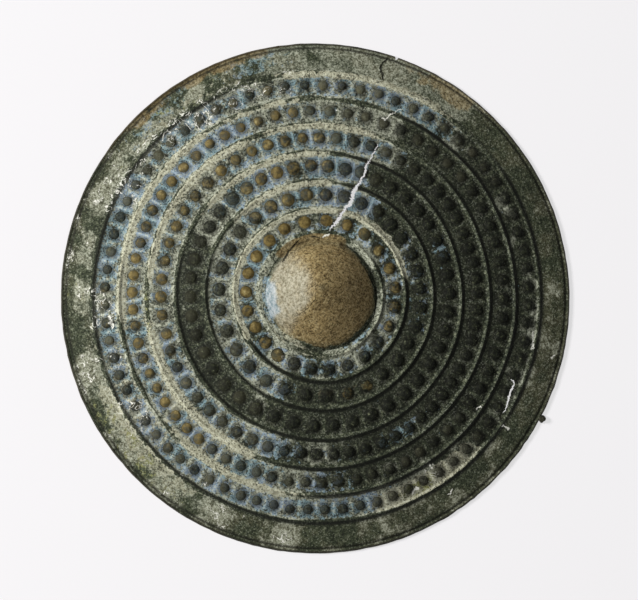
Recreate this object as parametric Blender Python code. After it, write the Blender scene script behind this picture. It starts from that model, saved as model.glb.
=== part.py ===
"""A bronze buckler that lies on its hem, face up: one domed sheet with ribs, rings of studs and a boss.

Behind the boss a strap crosses the hollow for the hand, held by two rivets. Lengths are in metres and
angles in degrees. Z is the shield's own axis, and the hem's flat underside is at Z = 0.
"""

import math
import random

import bmesh
import bpy
from mathutils import Vector

FULL_TURN = 2.0 * math.pi

# The sheet as a whole
SHIELD_RADIUS = 0.200
DOME_RISE = 0.043
SHEET_WALL = 0.0013

# The edge: the sheet is folded under into a flat hem, and its face ends in a groove and a raised lip
HEM_WIDTH = 0.0045
HEM_HEIGHT = 0.0024
HEM_CHAMFER = 0.0007
LIP_WIDTH = 0.0022
LIP_HEIGHT = 0.0010
GROOVE_WIDTH = 0.0024
GROOVE_DEPTH = 0.0006
RIM_BAND = 0.0236

# The ribs, beaten up from behind, and the widths between their crests from the boss outwards
RIB_WIDTH = 0.0050
RIB_HEIGHT = 0.0020
ZONE_WIDTHS = (0.0191, 0.0220, 0.0229, 0.0224, 0.0211, 0.0204)

# The boss, which leans a little
BOSS_RADIUS = 0.0427
BOSS_HEIGHT = 0.031
BOSS_RIB_GAP = 0.0058
BOSS_LEAN_X = -0.002
BOSS_LEAN_Y = 0.004
BOSS_FULLNESS = 1.6
BOSS_STEPS = (0.16, 0.38, 0.60, 0.81, 1.0)

# The rings of studs from the boss outwards. Each row has the spacing along the ring, the stud's
# diameter, the first stud's angle, and how far and towards which side the hand's spacing drifts.
STUD_RINGS = (
    (0.01528, 0.0098, 9.5, 4.4, 51.0),
    (0.01537, 0.0102, 0.3, 4.8, 224.0),
    (0.01442, 0.0100, -3.1, 4.4, 266.0),
    (0.01317, 0.0090, 2.5, 4.5, 159.0),
    (0.01385, 0.0083, 1.8, 4.1, 37.0),
    (0.01411, 0.0080, 5.2, 2.4, 67.0),
)
STUD_HEIGHT = 0.0022
STUD_SIDES = 6

# The split beside the boss, as radius, angle and width along its course, and the nick in the edge
SPLIT_COURSE = (
    (0.0503, 82.5, 0.0006),
    (0.0596, 77.4, 0.0030),
    (0.0674, 74.4, 0.0030),
    (0.0830, 71.5, 0.0036),
    (0.1000, 70.5, 0.0024),
    (0.1149, 69.5, 0.0018),
    (0.1277, 68.8, 0.0006),
)
SPLIT_TEETH = 2
SPLIT_ROUGHNESS = 0.0005
NICK_ANGLE = 71.5
NICK_DEPTH = 0.0025
NICK_WIDTH = 0.0040

# The hand grip and its two rivets, whose heads stand among the studs of the first ring
GRIP_ANGLE = 54.5
GRIP_WIDTH = 0.022
GRIP_WALL = 0.0025
GRIP_DROP = 0.009
GRIP_ARCH = 0.003
GRIP_BEND = 0.018
TANG_WIDTH = 0.016
RIVET_SHANK = 0.0040
RIVET_HEAD_HEIGHT = 0.0022
RIVET_TAIL = 0.0070
RIVET_TAIL_HEIGHT = 0.0014
FIT_GAP = 0.0004

# How finely round things are divided
BOSS_SEGMENTS = 32
BACK_SEGMENTS = 36
RIM_SEGMENTS = 56
RIVET_SEGMENTS = 10
FINE_CELL = math.radians(12.0)
SHARP_EDGE = math.radians(35.0)
SEED = 7


def face_height(radius):
    """Height of the sheet's face, without ribs, studs and boss."""
    return HEM_HEIGHT + DOME_RISE * (1.0 - (radius / SHIELD_RADIUS) ** 2)


def face_slope(radius):
    """How much the face falls for each metre outwards."""
    return 2.0 * DOME_RISE * radius / SHIELD_RADIUS**2


def rib_radii():
    """Radii of the ribs' crests: as many zones as fit, stretched to end at the rim's plain band."""
    first = BOSS_RADIUS + BOSS_RIB_GAP
    space = SHIELD_RADIUS - RIM_BAND - first
    widths = [ZONE_WIDTHS[0]]
    while True:
        following = ZONE_WIDTHS[min(len(widths), len(ZONE_WIDTHS) - 1)]
        if sum(widths) + following / 2 > space:
            break
        widths.append(following)
    stretch = space / sum(widths)
    radii = [first]
    for width in widths:
        radii.append(radii[-1] + width * stretch)
    return radii


def rib_points(radius):
    """Foot, crest and foot of one rib, as radius and height."""
    inner = radius - RIB_WIDTH / 2
    outer = radius + RIB_WIDTH / 2
    crest = face_height(radius) + RIB_HEIGHT
    return [(inner, face_height(inner)), (radius, crest), (outer, face_height(outer))]


def boss_points():
    """The boss from its tip to its foot, as radius and height."""
    foot = face_height(BOSS_RADIUS)
    points = [(0.0, foot + BOSS_HEIGHT)]
    for share in BOSS_STEPS:
        points.append((share * BOSS_RADIUS, foot + BOSS_HEIGHT * (1.0 - share**BOSS_FULLNESS)))
    return points


def moved_inwards(profile, wall):
    """A profile that starts on the axis, moved to its inner side by the wall, with mitred corners."""
    sides = []
    for (r0, z0), (r1, z1) in zip(profile, profile[1:]):
        sides.append(Vector((z1 - z0, r0 - r1)).normalized())
    moved = []
    for index, (radius, height) in enumerate(profile):
        before = sides[index - 1] if index else Vector((-sides[0].x, sides[0].y))
        after = sides[min(index, len(sides) - 1)]
        mitre = (before + after).normalized()
        step = mitre * (wall / mitre.dot(after))
        moved.append((radius + step.x, height + step.y))
    return moved


def even_angles(count):
    return [FULL_TURN * step / count for step in range(count)]


def ring_angles(ring, radius):
    """Angles of one ring's studs, spaced by hand rather than evenly."""
    pitch, _, first, drift, side = STUD_RINGS[min(ring, len(STUD_RINGS) - 1)]
    count = max(6, round(FULL_TURN * radius / pitch))
    angles = []
    for step in range(count):
        turn = 360.0 * step / count
        angles.append(math.radians(first + turn + drift * math.sin(math.radians(turn - side))))
    return angles


def nearest(angles, wanted):
    """Index of the angle that lies nearest to the wanted one, round the circle."""
    return min(range(len(angles)), key=lambda i: abs(math.remainder(angles[i] - wanted, FULL_TURN)))


def boss_shift(height):
    """How far the leaning boss has moved sideways at this height."""
    foot = face_height(BOSS_RADIUS)
    share = max(0.0, height - foot) / BOSS_HEIGHT
    return share * BOSS_LEAN_X, share * BOSS_LEAN_Y


def add_loop(bm, radius, height, angles, shift=(0.0, 0.0)):
    """One ring of points round the axis."""
    loop = []
    for angle in angles:
        x = shift[0] + radius * math.cos(angle)
        y = shift[1] + radius * math.sin(angle)
        loop.append(bm.verts.new((x, y, height)))
    return loop


def stitch(bm, inner, outer, centre=(0.0, 0.0)):
    """Fills the strip between two loops that run the same way round a centre, whatever their counts."""

    def turn(vert):
        return math.atan2(vert.co.y - centre[1], vert.co.x - centre[0])

    start = turn(inner[0])
    inner_turns = [(turn(vert) - start) % FULL_TURN for vert in inner[1:]]
    inner_turns = [0.0] + inner_turns + [FULL_TURN]
    outer_turns = [(turn(vert) - start) % FULL_TURN for vert in outer]
    lead = outer_turns.index(min(outer_turns))
    outer = outer[lead:] + outer[:lead]
    outer_turns = outer_turns[lead:] + outer_turns[:lead]
    outer_turns.append(outer_turns[0] + FULL_TURN)
    i = 0
    j = 0
    while i < len(inner) or j < len(outer):
        a = inner[i % len(inner)]
        b = outer[j % len(outer)]
        inner_is_next = j == len(outer) or (i < len(inner) and inner_turns[i + 1] <= outer_turns[j + 1])
        if inner_is_next:
            i += 1
            bm.faces.new((a, b, inner[i % len(inner)]))
        else:
            j += 1
            bm.faces.new((a, b, outer[j % len(outer)]))


def fan(bm, loop, tip):
    """Closes a loop with a fan of triangles round one point."""
    for vert, following in zip(loop, loop[1:] + loop[:1]):
        bm.faces.new((tip, vert, following))


def add_stud(bm, radius, angle, diameter, border):
    """One stud and the plain metal between it and the border of its cell."""
    centre = (radius * math.cos(angle), radius * math.sin(angle))
    foot = []
    for side in even_angles(STUD_SIDES):
        x = centre[0] + diameter / 2 * math.cos(angle + side)
        y = centre[1] + diameter / 2 * math.sin(angle + side)
        foot.append(bm.verts.new((x, y, face_height(math.hypot(x, y)))))
    stitch(bm, foot, border, centre)
    tip = bm.verts.new((centre[0], centre[1], face_height(radius) + STUD_HEIGHT))
    fan(bm, foot, tip)


def zone_borders(studs):
    """Angles that part a ring's studs, and on the rings near the boss also the studs' own."""
    angles = []
    for angle, before in zip(studs, [studs[-1] - FULL_TURN] + studs[:-1]):
        angles.append((angle + before) / 2)
        if FULL_TURN / len(studs) > FINE_CELL:
            angles.append(angle)
    return angles


def add_zone(bm, inner_loop, outer_loop, radius, studs, diameter, plain):
    """One ring of studs between two ribs. The cells in plain stay flat, for the rivets."""
    points = len(inner_loop) // len(studs)
    count = len(inner_loop)
    for index, angle in enumerate(studs):
        places = [(index * points + step) % count for step in range(points + 1)]
        border = [outer_loop[place] for place in places]
        border += [inner_loop[place] for place in reversed(places)]
        if index in plain:
            bm.faces.new(border)
        else:
            add_stud(bm, radius, angle, diameter, border)


def rivet_angles():
    return [math.radians(GRIP_ANGLE), math.radians(GRIP_ANGLE + 180.0)]


def first_ring_radius():
    ribs = rib_radii()
    return (ribs[0] + ribs[1]) / 2


def add_face(bm):
    """The sheet's face from the boss to the lip. Returns its last loop."""
    ribs = rib_radii()
    boss = boss_points()
    around = even_angles(BOSS_SEGMENTS)
    tip_shift = boss_shift(boss[0][1])
    tip = bm.verts.new((tip_shift[0], tip_shift[1], boss[0][1]))
    last = None
    for radius, height in boss[1:]:
        loop = add_loop(bm, radius, height, around, boss_shift(height))
        if last:
            stitch(bm, last, loop, boss_shift(height))
        else:
            fan(bm, loop, tip)
        last = loop
    for ring, radius in enumerate(ribs):
        foot, crest, outer_foot = rib_points(radius)
        if ring == 0:
            loop = add_loop(bm, *foot, around)
            stitch(bm, last, loop)
            last = loop
        if ring < len(ribs) - 1:
            middle = (radius + ribs[ring + 1]) / 2
            studs = ring_angles(ring, middle)
            plain = []
            if ring == 0:
                for angle in rivet_angles():
                    place = nearest(studs, angle)
                    studs[place] += math.remainder(angle - studs[place], FULL_TURN)
                    plain.append(place)
            borders = zone_borders(studs)
        else:
            borders = even_angles(RIM_SEGMENTS)
        for point in (crest, outer_foot):
            loop = add_loop(bm, *point, borders)
            stitch(bm, last, loop)
            last = loop
        if ring < len(ribs) - 1:
            diameter = STUD_RINGS[min(ring, len(STUD_RINGS) - 1)][1]
            loop = add_loop(bm, *rib_points(ribs[ring + 1])[0], borders)
            add_zone(bm, last, loop, middle, studs, diameter, plain)
            last = loop
    return last


def add_edge(bm, last):
    """The groove, the lip and the folded hem, down to the flat underside and up to the back."""
    groove_start = SHIELD_RADIUS - LIP_WIDTH - GROOVE_WIDTH
    groove_floor = groove_start + GROOVE_WIDTH / 2
    lip_start = SHIELD_RADIUS - LIP_WIDTH
    lip_crest = SHIELD_RADIUS - LIP_WIDTH / 2
    hem_inside = SHIELD_RADIUS - HEM_WIDTH
    profile = [
        (groove_start, face_height(groove_start)),
        (groove_floor, face_height(groove_floor) - GROOVE_DEPTH),
        (lip_start, face_height(lip_start)),
        (lip_crest, face_height(lip_crest) + LIP_HEIGHT),
        (SHIELD_RADIUS, HEM_HEIGHT / 2),
        (SHIELD_RADIUS - HEM_CHAMFER, 0.0),
        (hem_inside + HEM_CHAMFER, 0.0),
        (hem_inside, HEM_CHAMFER),
    ]
    around = even_angles(RIM_SEGMENTS)
    for radius, height in profile:
        loop = add_loop(bm, radius, height, around)
        stitch(bm, last, loop)
        last = loop
    return last


def add_back(bm, last):
    """The sheet's back, which follows the face at one wall's thickness, from the hem to the boss."""
    hem_inside = SHIELD_RADIUS - HEM_WIDTH
    profile = boss_points()
    for radius in rib_radii():
        profile += rib_points(radius)
    profile.append((hem_inside, face_height(hem_inside)))
    back = moved_inwards(profile, SHEET_WALL)
    fall = math.hypot(1.0, face_slope(hem_inside))
    back[-1] = (hem_inside, face_height(hem_inside) - SHEET_WALL * fall)
    boss_foot = len(BOSS_STEPS)
    for index in range(len(back) - 1, 0, -1):
        radius, height = back[index]
        count = BACK_SEGMENTS if index > boss_foot + len(rib_points(0.0)) else BOSS_SEGMENTS
        shift = boss_shift(profile[index][1]) if index <= boss_foot else (0.0, 0.0)
        loop = add_loop(bm, radius, height, even_angles(count), shift)
        stitch(bm, last, loop, shift)
        last = loop
    tip_shift = boss_shift(profile[0][1])
    fan(bm, last, bm.verts.new((tip_shift[0], tip_shift[1], back[0][1])))


def object_from(bm, name, material):
    """Turns a bmesh into a named, smooth object in the scene."""
    bmesh.ops.triangulate(bm, faces=bm.faces)
    bmesh.ops.recalc_face_normals(bm, faces=bm.faces)
    mesh = bpy.data.meshes.new(name)
    bm.to_mesh(mesh)
    bm.free()
    mesh.shade_smooth()
    mesh.set_sharp_from_angle(angle=SHARP_EDGE)
    mesh.materials.append(material)
    obj = bpy.data.objects.new(name, mesh)
    bpy.context.scene.collection.objects.link(obj)
    return obj


def bronze(name, colour, roughness, metallic):
    material = bpy.data.materials.new(name)
    material.use_nodes = True
    shader = material.node_tree.nodes["Principled BSDF"]
    shader.inputs["Base Color"].default_value = (*colour, 1.0)
    shader.inputs["Roughness"].default_value = roughness
    shader.inputs["Metallic"].default_value = metallic
    return material


def cut(obj, cutter):
    """Cuts one object out of another and keeps the cutter as a hidden guide."""
    cutter.hide_render = True
    cutter.display_type = "WIRE"
    modifier = obj.modifiers.new(cutter.name, "BOOLEAN")
    modifier.operation = "DIFFERENCE"
    modifier.solver = "EXACT"
    modifier.object = cutter


def prism(name, outline, material):
    """A tall upright cutter with this outline, from below the hem to above the boss."""
    bottom = -HEM_HEIGHT
    top = 2.0 * HEM_HEIGHT + DOME_RISE + BOSS_HEIGHT
    bm = bmesh.new()
    floor = bm.faces.new([bm.verts.new((x, y, bottom)) for x, y in outline])
    raised = bmesh.ops.extrude_face_region(bm, geom=[floor])
    for item in raised["geom"]:
        if isinstance(item, bmesh.types.BMVert):
            item.co.z = top
    return object_from(bm, name, material)


def split_outline():
    """The torn outline of the split, whose two sides are rough in their own way."""
    rough = random.Random(SEED)
    left = []
    right = []
    for (r0, a0, w0), (r1, a1, w1) in zip(SPLIT_COURSE, SPLIT_COURSE[1:]):
        for tooth in range(SPLIT_TEETH):
            share = tooth / SPLIT_TEETH
            radius = r0 + (r1 - r0) * share
            angle = math.radians(a0 + (a1 - a0) * share)
            width = w0 + (w1 - w0) * share
            for side, points in ((1.0, left), (-1.0, right)):
                swing = side * (width / 2 + rough.uniform(0.0, SPLIT_ROUGHNESS)) / radius
                points.append((radius * math.cos(angle + swing), radius * math.sin(angle + swing)))
    end_radius, end_angle, _ = SPLIT_COURSE[-1]
    end_angle = math.radians(end_angle)
    return right + [(end_radius * math.cos(end_angle), end_radius * math.sin(end_angle))] + left[::-1]


def nick_outline():
    """A notch in the edge, widest outside it."""
    angle = math.radians(NICK_ANGLE)
    tip = SHIELD_RADIUS - NICK_DEPTH
    outside = SHIELD_RADIUS + NICK_DEPTH
    swing = NICK_WIDTH / SHIELD_RADIUS
    return [
        (tip * math.cos(angle), tip * math.sin(angle)),
        (outside * math.cos(angle - swing), outside * math.sin(angle - swing)),
        (outside * math.cos(angle + swing), outside * math.sin(angle + swing)),
    ]


def rivet_place():
    """Radius, height and lean of a rivet where its shank passes through the sheet's face."""
    radius = first_ring_radius()
    return radius, face_height(radius), math.atan(face_slope(radius))


def turned(name, profile, segments, material):
    """A solid turned from a profile that starts and ends on the axis."""
    bm = bmesh.new()
    around = even_angles(segments)
    last = None
    for radius, height in profile[1:-1]:
        loop = add_loop(bm, radius, height, around)
        if last:
            for index, vert in enumerate(loop):
                bm.faces.new((last[index - 1], last[index], vert, loop[index - 1]))
        else:
            fan(bm, loop, bm.verts.new((0.0, 0.0, profile[0][1])))
        last = loop
    fan(bm, last, bm.verts.new((0.0, 0.0, profile[-1][1])))
    return object_from(bm, name, material)


def set_on_dome(obj, angle):
    """Stands a rivet or its drill square to the sheet, at this angle round the boss."""
    radius, height, lean = rivet_place()
    obj.location = (radius * math.cos(angle), radius * math.sin(angle), height)
    obj.rotation_euler = (0.0, lean, angle)


def build_drill(name, angle, material):
    """The cutter for one rivet's hole through the sheet and the strap."""
    radius = RIVET_SHANK / 2 + FIT_GAP
    reach = SHEET_WALL + GRIP_WALL + RIVET_HEAD_HEIGHT + 4.0 * FIT_GAP
    profile = [(0.0, reach), (radius, reach), (radius, -reach), (0.0, -reach)]
    drill = turned(name, profile, RIVET_SEGMENTS, material)
    set_on_dome(drill, angle)
    return drill


def build_sheet(material, drills):
    bm = bmesh.new()
    add_back(bm, add_edge(bm, add_face(bm)))
    sheet = object_from(bm, "shield_sheet", material)
    cut(sheet, prism("split_cutter", split_outline(), material))
    cut(sheet, prism("nick_cutter", nick_outline(), material))
    for drill in drills:
        cut(sheet, drill)
    return sheet


def smooth_step(value):
    value = min(1.0, max(0.0, value))
    return value * value * (3.0 - 2.0 * value)


def grip_section(along):
    """Half width, height and arch of the strap's upper side at a distance from its middle."""
    radius, height, lean = rivet_place()
    past_rivet = abs(along) - radius
    back = height - SHEET_WALL / math.cos(lean) - FIT_GAP
    tang_half = TANG_WIDTH / 2
    flat_from = radius - tang_half
    sunk = smooth_step((flat_from - abs(along)) / GRIP_BEND)
    if past_rivet > 0.0:
        half_width = math.sqrt(max(0.0, tang_half**2 - past_rivet**2))
    else:
        widening = smooth_step(-past_rivet / radius)
        half_width = tang_half + (GRIP_WIDTH / 2 - tang_half) * widening
    top = back - math.tan(lean) * past_rivet * (1.0 - sunk) - GRIP_DROP * sunk
    return half_width, top, GRIP_ARCH * sunk


def grip_stations():
    """Distances from the middle at which the strap's section is taken, close together at its ends."""
    radius = rivet_place()[0]
    tang_half = TANG_WIDTH / 2
    flat_from = radius - tang_half
    outer = [radius + tang_half * share for share in (0.0, 0.5, 0.8, 0.95)]
    bend = [flat_from - GRIP_BEND * share for share in (0.0, 0.25, 0.5, 0.75, 1.0)]
    positive = sorted(bend + outer)
    return [-along for along in reversed(positive)] + [0.0] + positive


def build_grip(material, drills):
    """The strap: flat tangs under the sheet, a bend at each end and an arched middle for the fingers."""
    bm = bmesh.new()
    across = (-1.0, -0.6, 0.0, 0.6, 1.0)
    last = None
    for along in grip_stations():
        half_width, top, arch = grip_section(along)
        row = []
        for share in across:
            row.append(bm.verts.new((along, share * half_width, top - arch * share**2)))
        if last:
            for index in range(len(across) - 1):
                bm.faces.new((last[index], row[index], row[index + 1], last[index + 1]))
        last = row
    upper = list(bm.faces)
    lower = bmesh.ops.extrude_face_region(bm, geom=upper)
    for item in lower["geom"]:
        if isinstance(item, bmesh.types.BMVert):
            item.co.z -= GRIP_WALL
    grip = object_from(bm, "hand_grip", material)
    grip.rotation_euler.z = math.radians(GRIP_ANGLE)
    for drill in drills:
        cut(grip, drill)
    return grip


def build_rivet(name, angle, material):
    """A round head on the face, a shank through sheet and strap, and a small hammered tail."""
    head = STUD_RINGS[0][1] / 2
    shank = RIVET_SHANK / 2
    tail = RIVET_TAIL / 2
    seat = FIT_GAP
    strap = -(SHEET_WALL + FIT_GAP + GRIP_WALL + FIT_GAP)
    profile = [
        (0.0, seat + RIVET_HEAD_HEIGHT),
        (0.6 * head, seat + 0.75 * RIVET_HEAD_HEIGHT),
        (head, seat + 0.15 * RIVET_HEAD_HEIGHT),
        (head, seat),
        (shank, seat),
        (shank, strap),
        (tail, strap),
        (0.8 * tail, strap - 0.8 * RIVET_TAIL_HEIGHT),
        (0.0, strap - RIVET_TAIL_HEIGHT),
    ]
    rivet = turned(name, profile, RIVET_SEGMENTS, material)
    set_on_dome(rivet, angle)
    return rivet


def clear_scene():
    for obj in list(bpy.data.objects):
        bpy.data.objects.remove(obj)


def build():
    clear_scene()
    patina = bronze("patinated_bronze", (0.16, 0.16, 0.13), 0.75, 0.25)
    plain = bronze("dull_bronze", (0.20, 0.16, 0.10), 0.6, 0.5)
    drills = []
    for letter, angle in zip("ab", rivet_angles()):
        drills.append(build_drill("rivet_drill_" + letter, angle, plain))
        build_rivet("grip_rivet_" + letter, angle, plain)
    build_sheet(patina, drills)
    build_grip(plain, drills)


build()
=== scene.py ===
# %% [markdown]
# # A bronze buckler, lying face up
#
# The object is a small round shield: one sheet of bronze, hammered into a shallow dome, with round ribs,
# rings of little studs between them and a pointed boss in the middle that makes room for the fist. The
# fixed frame that is loaded here holds its solids at their real size. This lesson dresses them: it models
# the sheet again with all its relief, then gives it the patina that it has after a long time in the ground.

# %% Load the frame
import math
import random

import bmesh
import bpy
import numpy as np
from mathutils import Matrix, Vector, noise


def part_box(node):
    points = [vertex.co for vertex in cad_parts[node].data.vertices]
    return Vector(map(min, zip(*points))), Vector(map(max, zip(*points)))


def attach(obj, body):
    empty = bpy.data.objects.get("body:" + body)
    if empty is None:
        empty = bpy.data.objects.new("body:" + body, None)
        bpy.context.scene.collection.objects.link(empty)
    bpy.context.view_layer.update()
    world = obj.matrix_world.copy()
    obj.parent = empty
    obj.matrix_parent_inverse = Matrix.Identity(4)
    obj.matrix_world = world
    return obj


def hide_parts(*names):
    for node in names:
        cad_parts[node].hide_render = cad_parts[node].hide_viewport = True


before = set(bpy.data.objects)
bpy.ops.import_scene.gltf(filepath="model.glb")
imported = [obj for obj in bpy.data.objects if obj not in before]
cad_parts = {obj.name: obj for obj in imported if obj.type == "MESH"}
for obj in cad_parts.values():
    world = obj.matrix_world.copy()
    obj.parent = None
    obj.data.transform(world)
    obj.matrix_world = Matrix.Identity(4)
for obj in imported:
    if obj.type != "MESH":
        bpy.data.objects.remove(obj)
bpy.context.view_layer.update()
sheet_low, sheet_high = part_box("shield_sheet")
print("solids span", [round(v, 4) for v in sheet_high - sheet_low])

# %% [markdown]
# ## Sizes
#
# The sizes of the real thing come first, in metres. The outer radius and the tip of the boss are read from
# the loaded solids, so the dressed sheet can't drift away from them. The ribs and studs follow the same
# radii as the solids. A maker would scratch these circles on the sheet with a compass before the hammering.

# %% Sizes of the sheet
RADIUS = (sheet_high.x - sheet_low.x) / 2
TIP_HEIGHT = sheet_high.z
WALL = 0.0013
DOME_RISE = 0.043
HEM_HEIGHT = 0.0024
HEM_WIDTH = 0.0045
HEM_CHAMFER = 0.0007
LIP_WIDTH = 0.0022
LIP_HEIGHT = 0.0010
GROOVE_WIDTH = 0.0024
GROOVE_DEPTH = 0.0007
RIB_RADII = (0.0485, 0.0676, 0.0896, 0.1125, 0.1349, 0.1560, 0.1764)
RIB_WIDTH = 0.0050
RIB_HEIGHT = 0.0020
BOSS_RADIUS = 0.0427
BOSS_FULLNESS = 1.6
BOSS_LEAN = (-0.002, 0.004)
print("radius", round(RADIUS, 4), "tip", round(TIP_HEIGHT, 4))

# %% Sizes of the studs, one row for each ring from the boss out
# count, diameter, first angle, drift of the spacing and the side it drifts to
STUD_RINGS = (
    (24, 0.0098, 9.5, 4.4, 51.0),
    (32, 0.0102, 0.3, 4.8, 224.0),
    (44, 0.0100, -3.1, 4.4, 266.0),
    (59, 0.0090, 2.5, 4.5, 159.0),
    (66, 0.0083, 1.8, 4.1, 37.0),
    (74, 0.0080, 5.2, 2.4, 67.0),
)
STUD_HEIGHT = 0.0023
GRIP_ANGLE = 54.5
FULL_TURN = 2.0 * math.pi


def stud_angles(ring):
    """Angles of one ring's studs in radians, spaced as the table gives rather than evenly."""
    count, _, first, drift, side = STUD_RINGS[ring]
    turns = [360.0 * step / count for step in range(count)]
    return [math.radians(first + t + drift * math.sin(math.radians(t - side))) for t in turns]


def middle_radius(ring):
    return (RIB_RADII[ring] + RIB_RADII[ring + 1]) / 2


print("studs", sum(row[0] for row in STUD_RINGS))

# %% [markdown]
# ## Working by selection
#
# Blender's edit tools act on what is selected, and the loaded solids arrive selected. So each step begins
# by selecting one object alone. Inside a mesh, points are picked by a rule, for instance "all points
# farther out than this radius", which does what a click with the mouse would do.

# %% Selection helpers
def only(*objects):
    """Selects these objects alone; the first becomes the active one."""
    bpy.ops.object.select_all(action="DESELECT")
    for obj in objects:
        obj.select_set(True)
    bpy.context.view_layer.objects.active = objects[0]


def positions(obj):
    """The object's points as a table of x, y and z."""
    flat = np.empty(len(obj.data.vertices) * 3)
    obj.data.vertices.foreach_get("co", flat)
    return flat.reshape(-1, 3)


def place_points(obj, points):
    obj.data.vertices.foreach_set("co", points.ravel())
    obj.data.update()


def edit_with(obj, picked):
    """Opens the object in edit mode with just these points selected."""
    only(obj)
    bpy.ops.object.mode_set(mode="EDIT")
    bpy.ops.mesh.select_mode(type="VERT")
    bpy.ops.mesh.select_all(action="DESELECT")
    bpy.ops.object.mode_set(mode="OBJECT")
    obj.data.vertices.foreach_set("select", np.asarray(picked, dtype=bool))
    bpy.ops.object.mode_set(mode="EDIT")


def edit_all(obj):
    """Opens the object in edit mode with everything selected."""
    only(obj)
    bpy.ops.object.mode_set(mode="EDIT")
    bpy.ops.mesh.select_all(action="SELECT")


def leave_edit():
    bpy.ops.object.mode_set(mode="OBJECT")


def face_outwards():
    """Turns all faces of the mesh that is open in edit mode outwards."""
    bpy.ops.mesh.select_all(action="SELECT")
    bpy.ops.mesh.normals_make_consistent(inside=False)


def bridge_borders():
    """Joins the open borders of the mesh that is open in edit mode with a strip of faces."""
    bpy.ops.mesh.select_mode(type="EDGE")
    bpy.ops.mesh.select_all(action="DESELECT")
    bpy.ops.mesh.select_non_manifold(extend=False, use_wire=True, use_boundary=True)
    bpy.ops.mesh.bridge_edge_loops()


def new_object(name, points, edges, faces):
    """Makes an object from points and the edges or faces between them."""
    mesh = bpy.data.meshes.new(name)
    mesh.from_pydata(points, edges, faces)
    obj = bpy.data.objects.new(mesh.name, mesh)
    bpy.context.scene.collection.objects.link(obj)
    return obj


# %% Points on the round
def polar(radius, angle):
    """The x and y of a place at this distance from the axis and this angle in radians."""
    return radius * math.cos(angle), radius * math.sin(angle)


def plan_radius(points):
    return np.hypot(points[:, 0], points[:, 1])


def plan_degrees(points):
    return np.degrees(np.arctan2(points[:, 1], points[:, 0])) % 360.0


print("a quarter turn leads to", [round(v, 3) for v in polar(1.0, FULL_TURN / 4)])

# %% [markdown]
# ## One stud and its cell
#
# Each stud was punched up from behind into a little dome. There are some three hundred, so one is modelled
# and copied. It starts as a filled circle, whose face is inset four times to get rings of points that can
# be raised later, and it is bridged to a square round it, the cell. Here the stud's radius is 1, the circle
# at its foot is a little wider and the square reaches from -2 to 2. Each copy is then fitted to its own
# place on the shield.

# %% Model the cell
FOOT_RING = 1.16
INSET_STEPS = (0.16, 0.2, 0.25, 0.25)
CELL_REACH = 2.0
bpy.ops.object.select_all(action="DESELECT")
bpy.ops.mesh.primitive_circle_add(vertices=16, radius=FOOT_RING, fill_type="NGON")
cell = bpy.context.object
bpy.ops.object.mode_set(mode="EDIT")
bpy.ops.mesh.select_all(action="SELECT")
for step in INSET_STEPS:
    bpy.ops.mesh.inset(thickness=step)
bpy.ops.mesh.poke()
bpy.ops.mesh.select_all(action="DESELECT")
bpy.ops.mesh.primitive_plane_add(size=2 * CELL_REACH)
bpy.ops.mesh.delete(type="ONLY_FACE")
leave_edit()
edit_with(cell, np.abs(positions(cell)).max(axis=1) > FOOT_RING + 0.01)
bpy.ops.mesh.subdivide(number_cuts=3)
leave_edit()
bpy.ops.object.mode_set(mode="EDIT")
bridge_borders()
face_outwards()
leave_edit()
cell_points = positions(cell)
cell_faces = [tuple(face.vertices) for face in cell.data.polygons]
if cell.data.polygons[0].normal.z < 0:
    cell_faces = [face[::-1] for face in cell_faces]
print("cell", len(cell_points), "points", len(cell_faces), "faces")

# %% [markdown]
# ## Rings of cells
#
# A copy of the cell is fitted between the two circles that bound its ring, from halfway to the stud before
# it to halfway to the stud after it. The square's edge bends to the circles and the stud itself stays
# round. A hand that punches three hundred studs isn't a machine, so each one is a little off its mark and
# a little larger or smaller than the next. The random numbers have a fixed seed: each run gives the same.

# %% Fit copies of the cell into rings
BORDER_GAP = 0.0004
SIZE_SPREAD = (0.92, 1.05)
RISE_SPREAD = (0.82, 1.15)
MISS_AROUND = 0.0005
MISS_ACROSS = 0.0006
MERGE_GAP = 0.00001
hand = random.Random(11)
studs = []
rivet_angles = [math.radians(GRIP_ANGLE), math.radians(GRIP_ANGLE + 180.0)]
on_border = np.abs(cell_points[:, :2]).max(axis=1) > CELL_REACH - 0.01


def away(angle, other):
    """How far one angle is from another, the short way round."""
    return abs(math.remainder(angle - other, FULL_TURN))


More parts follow.
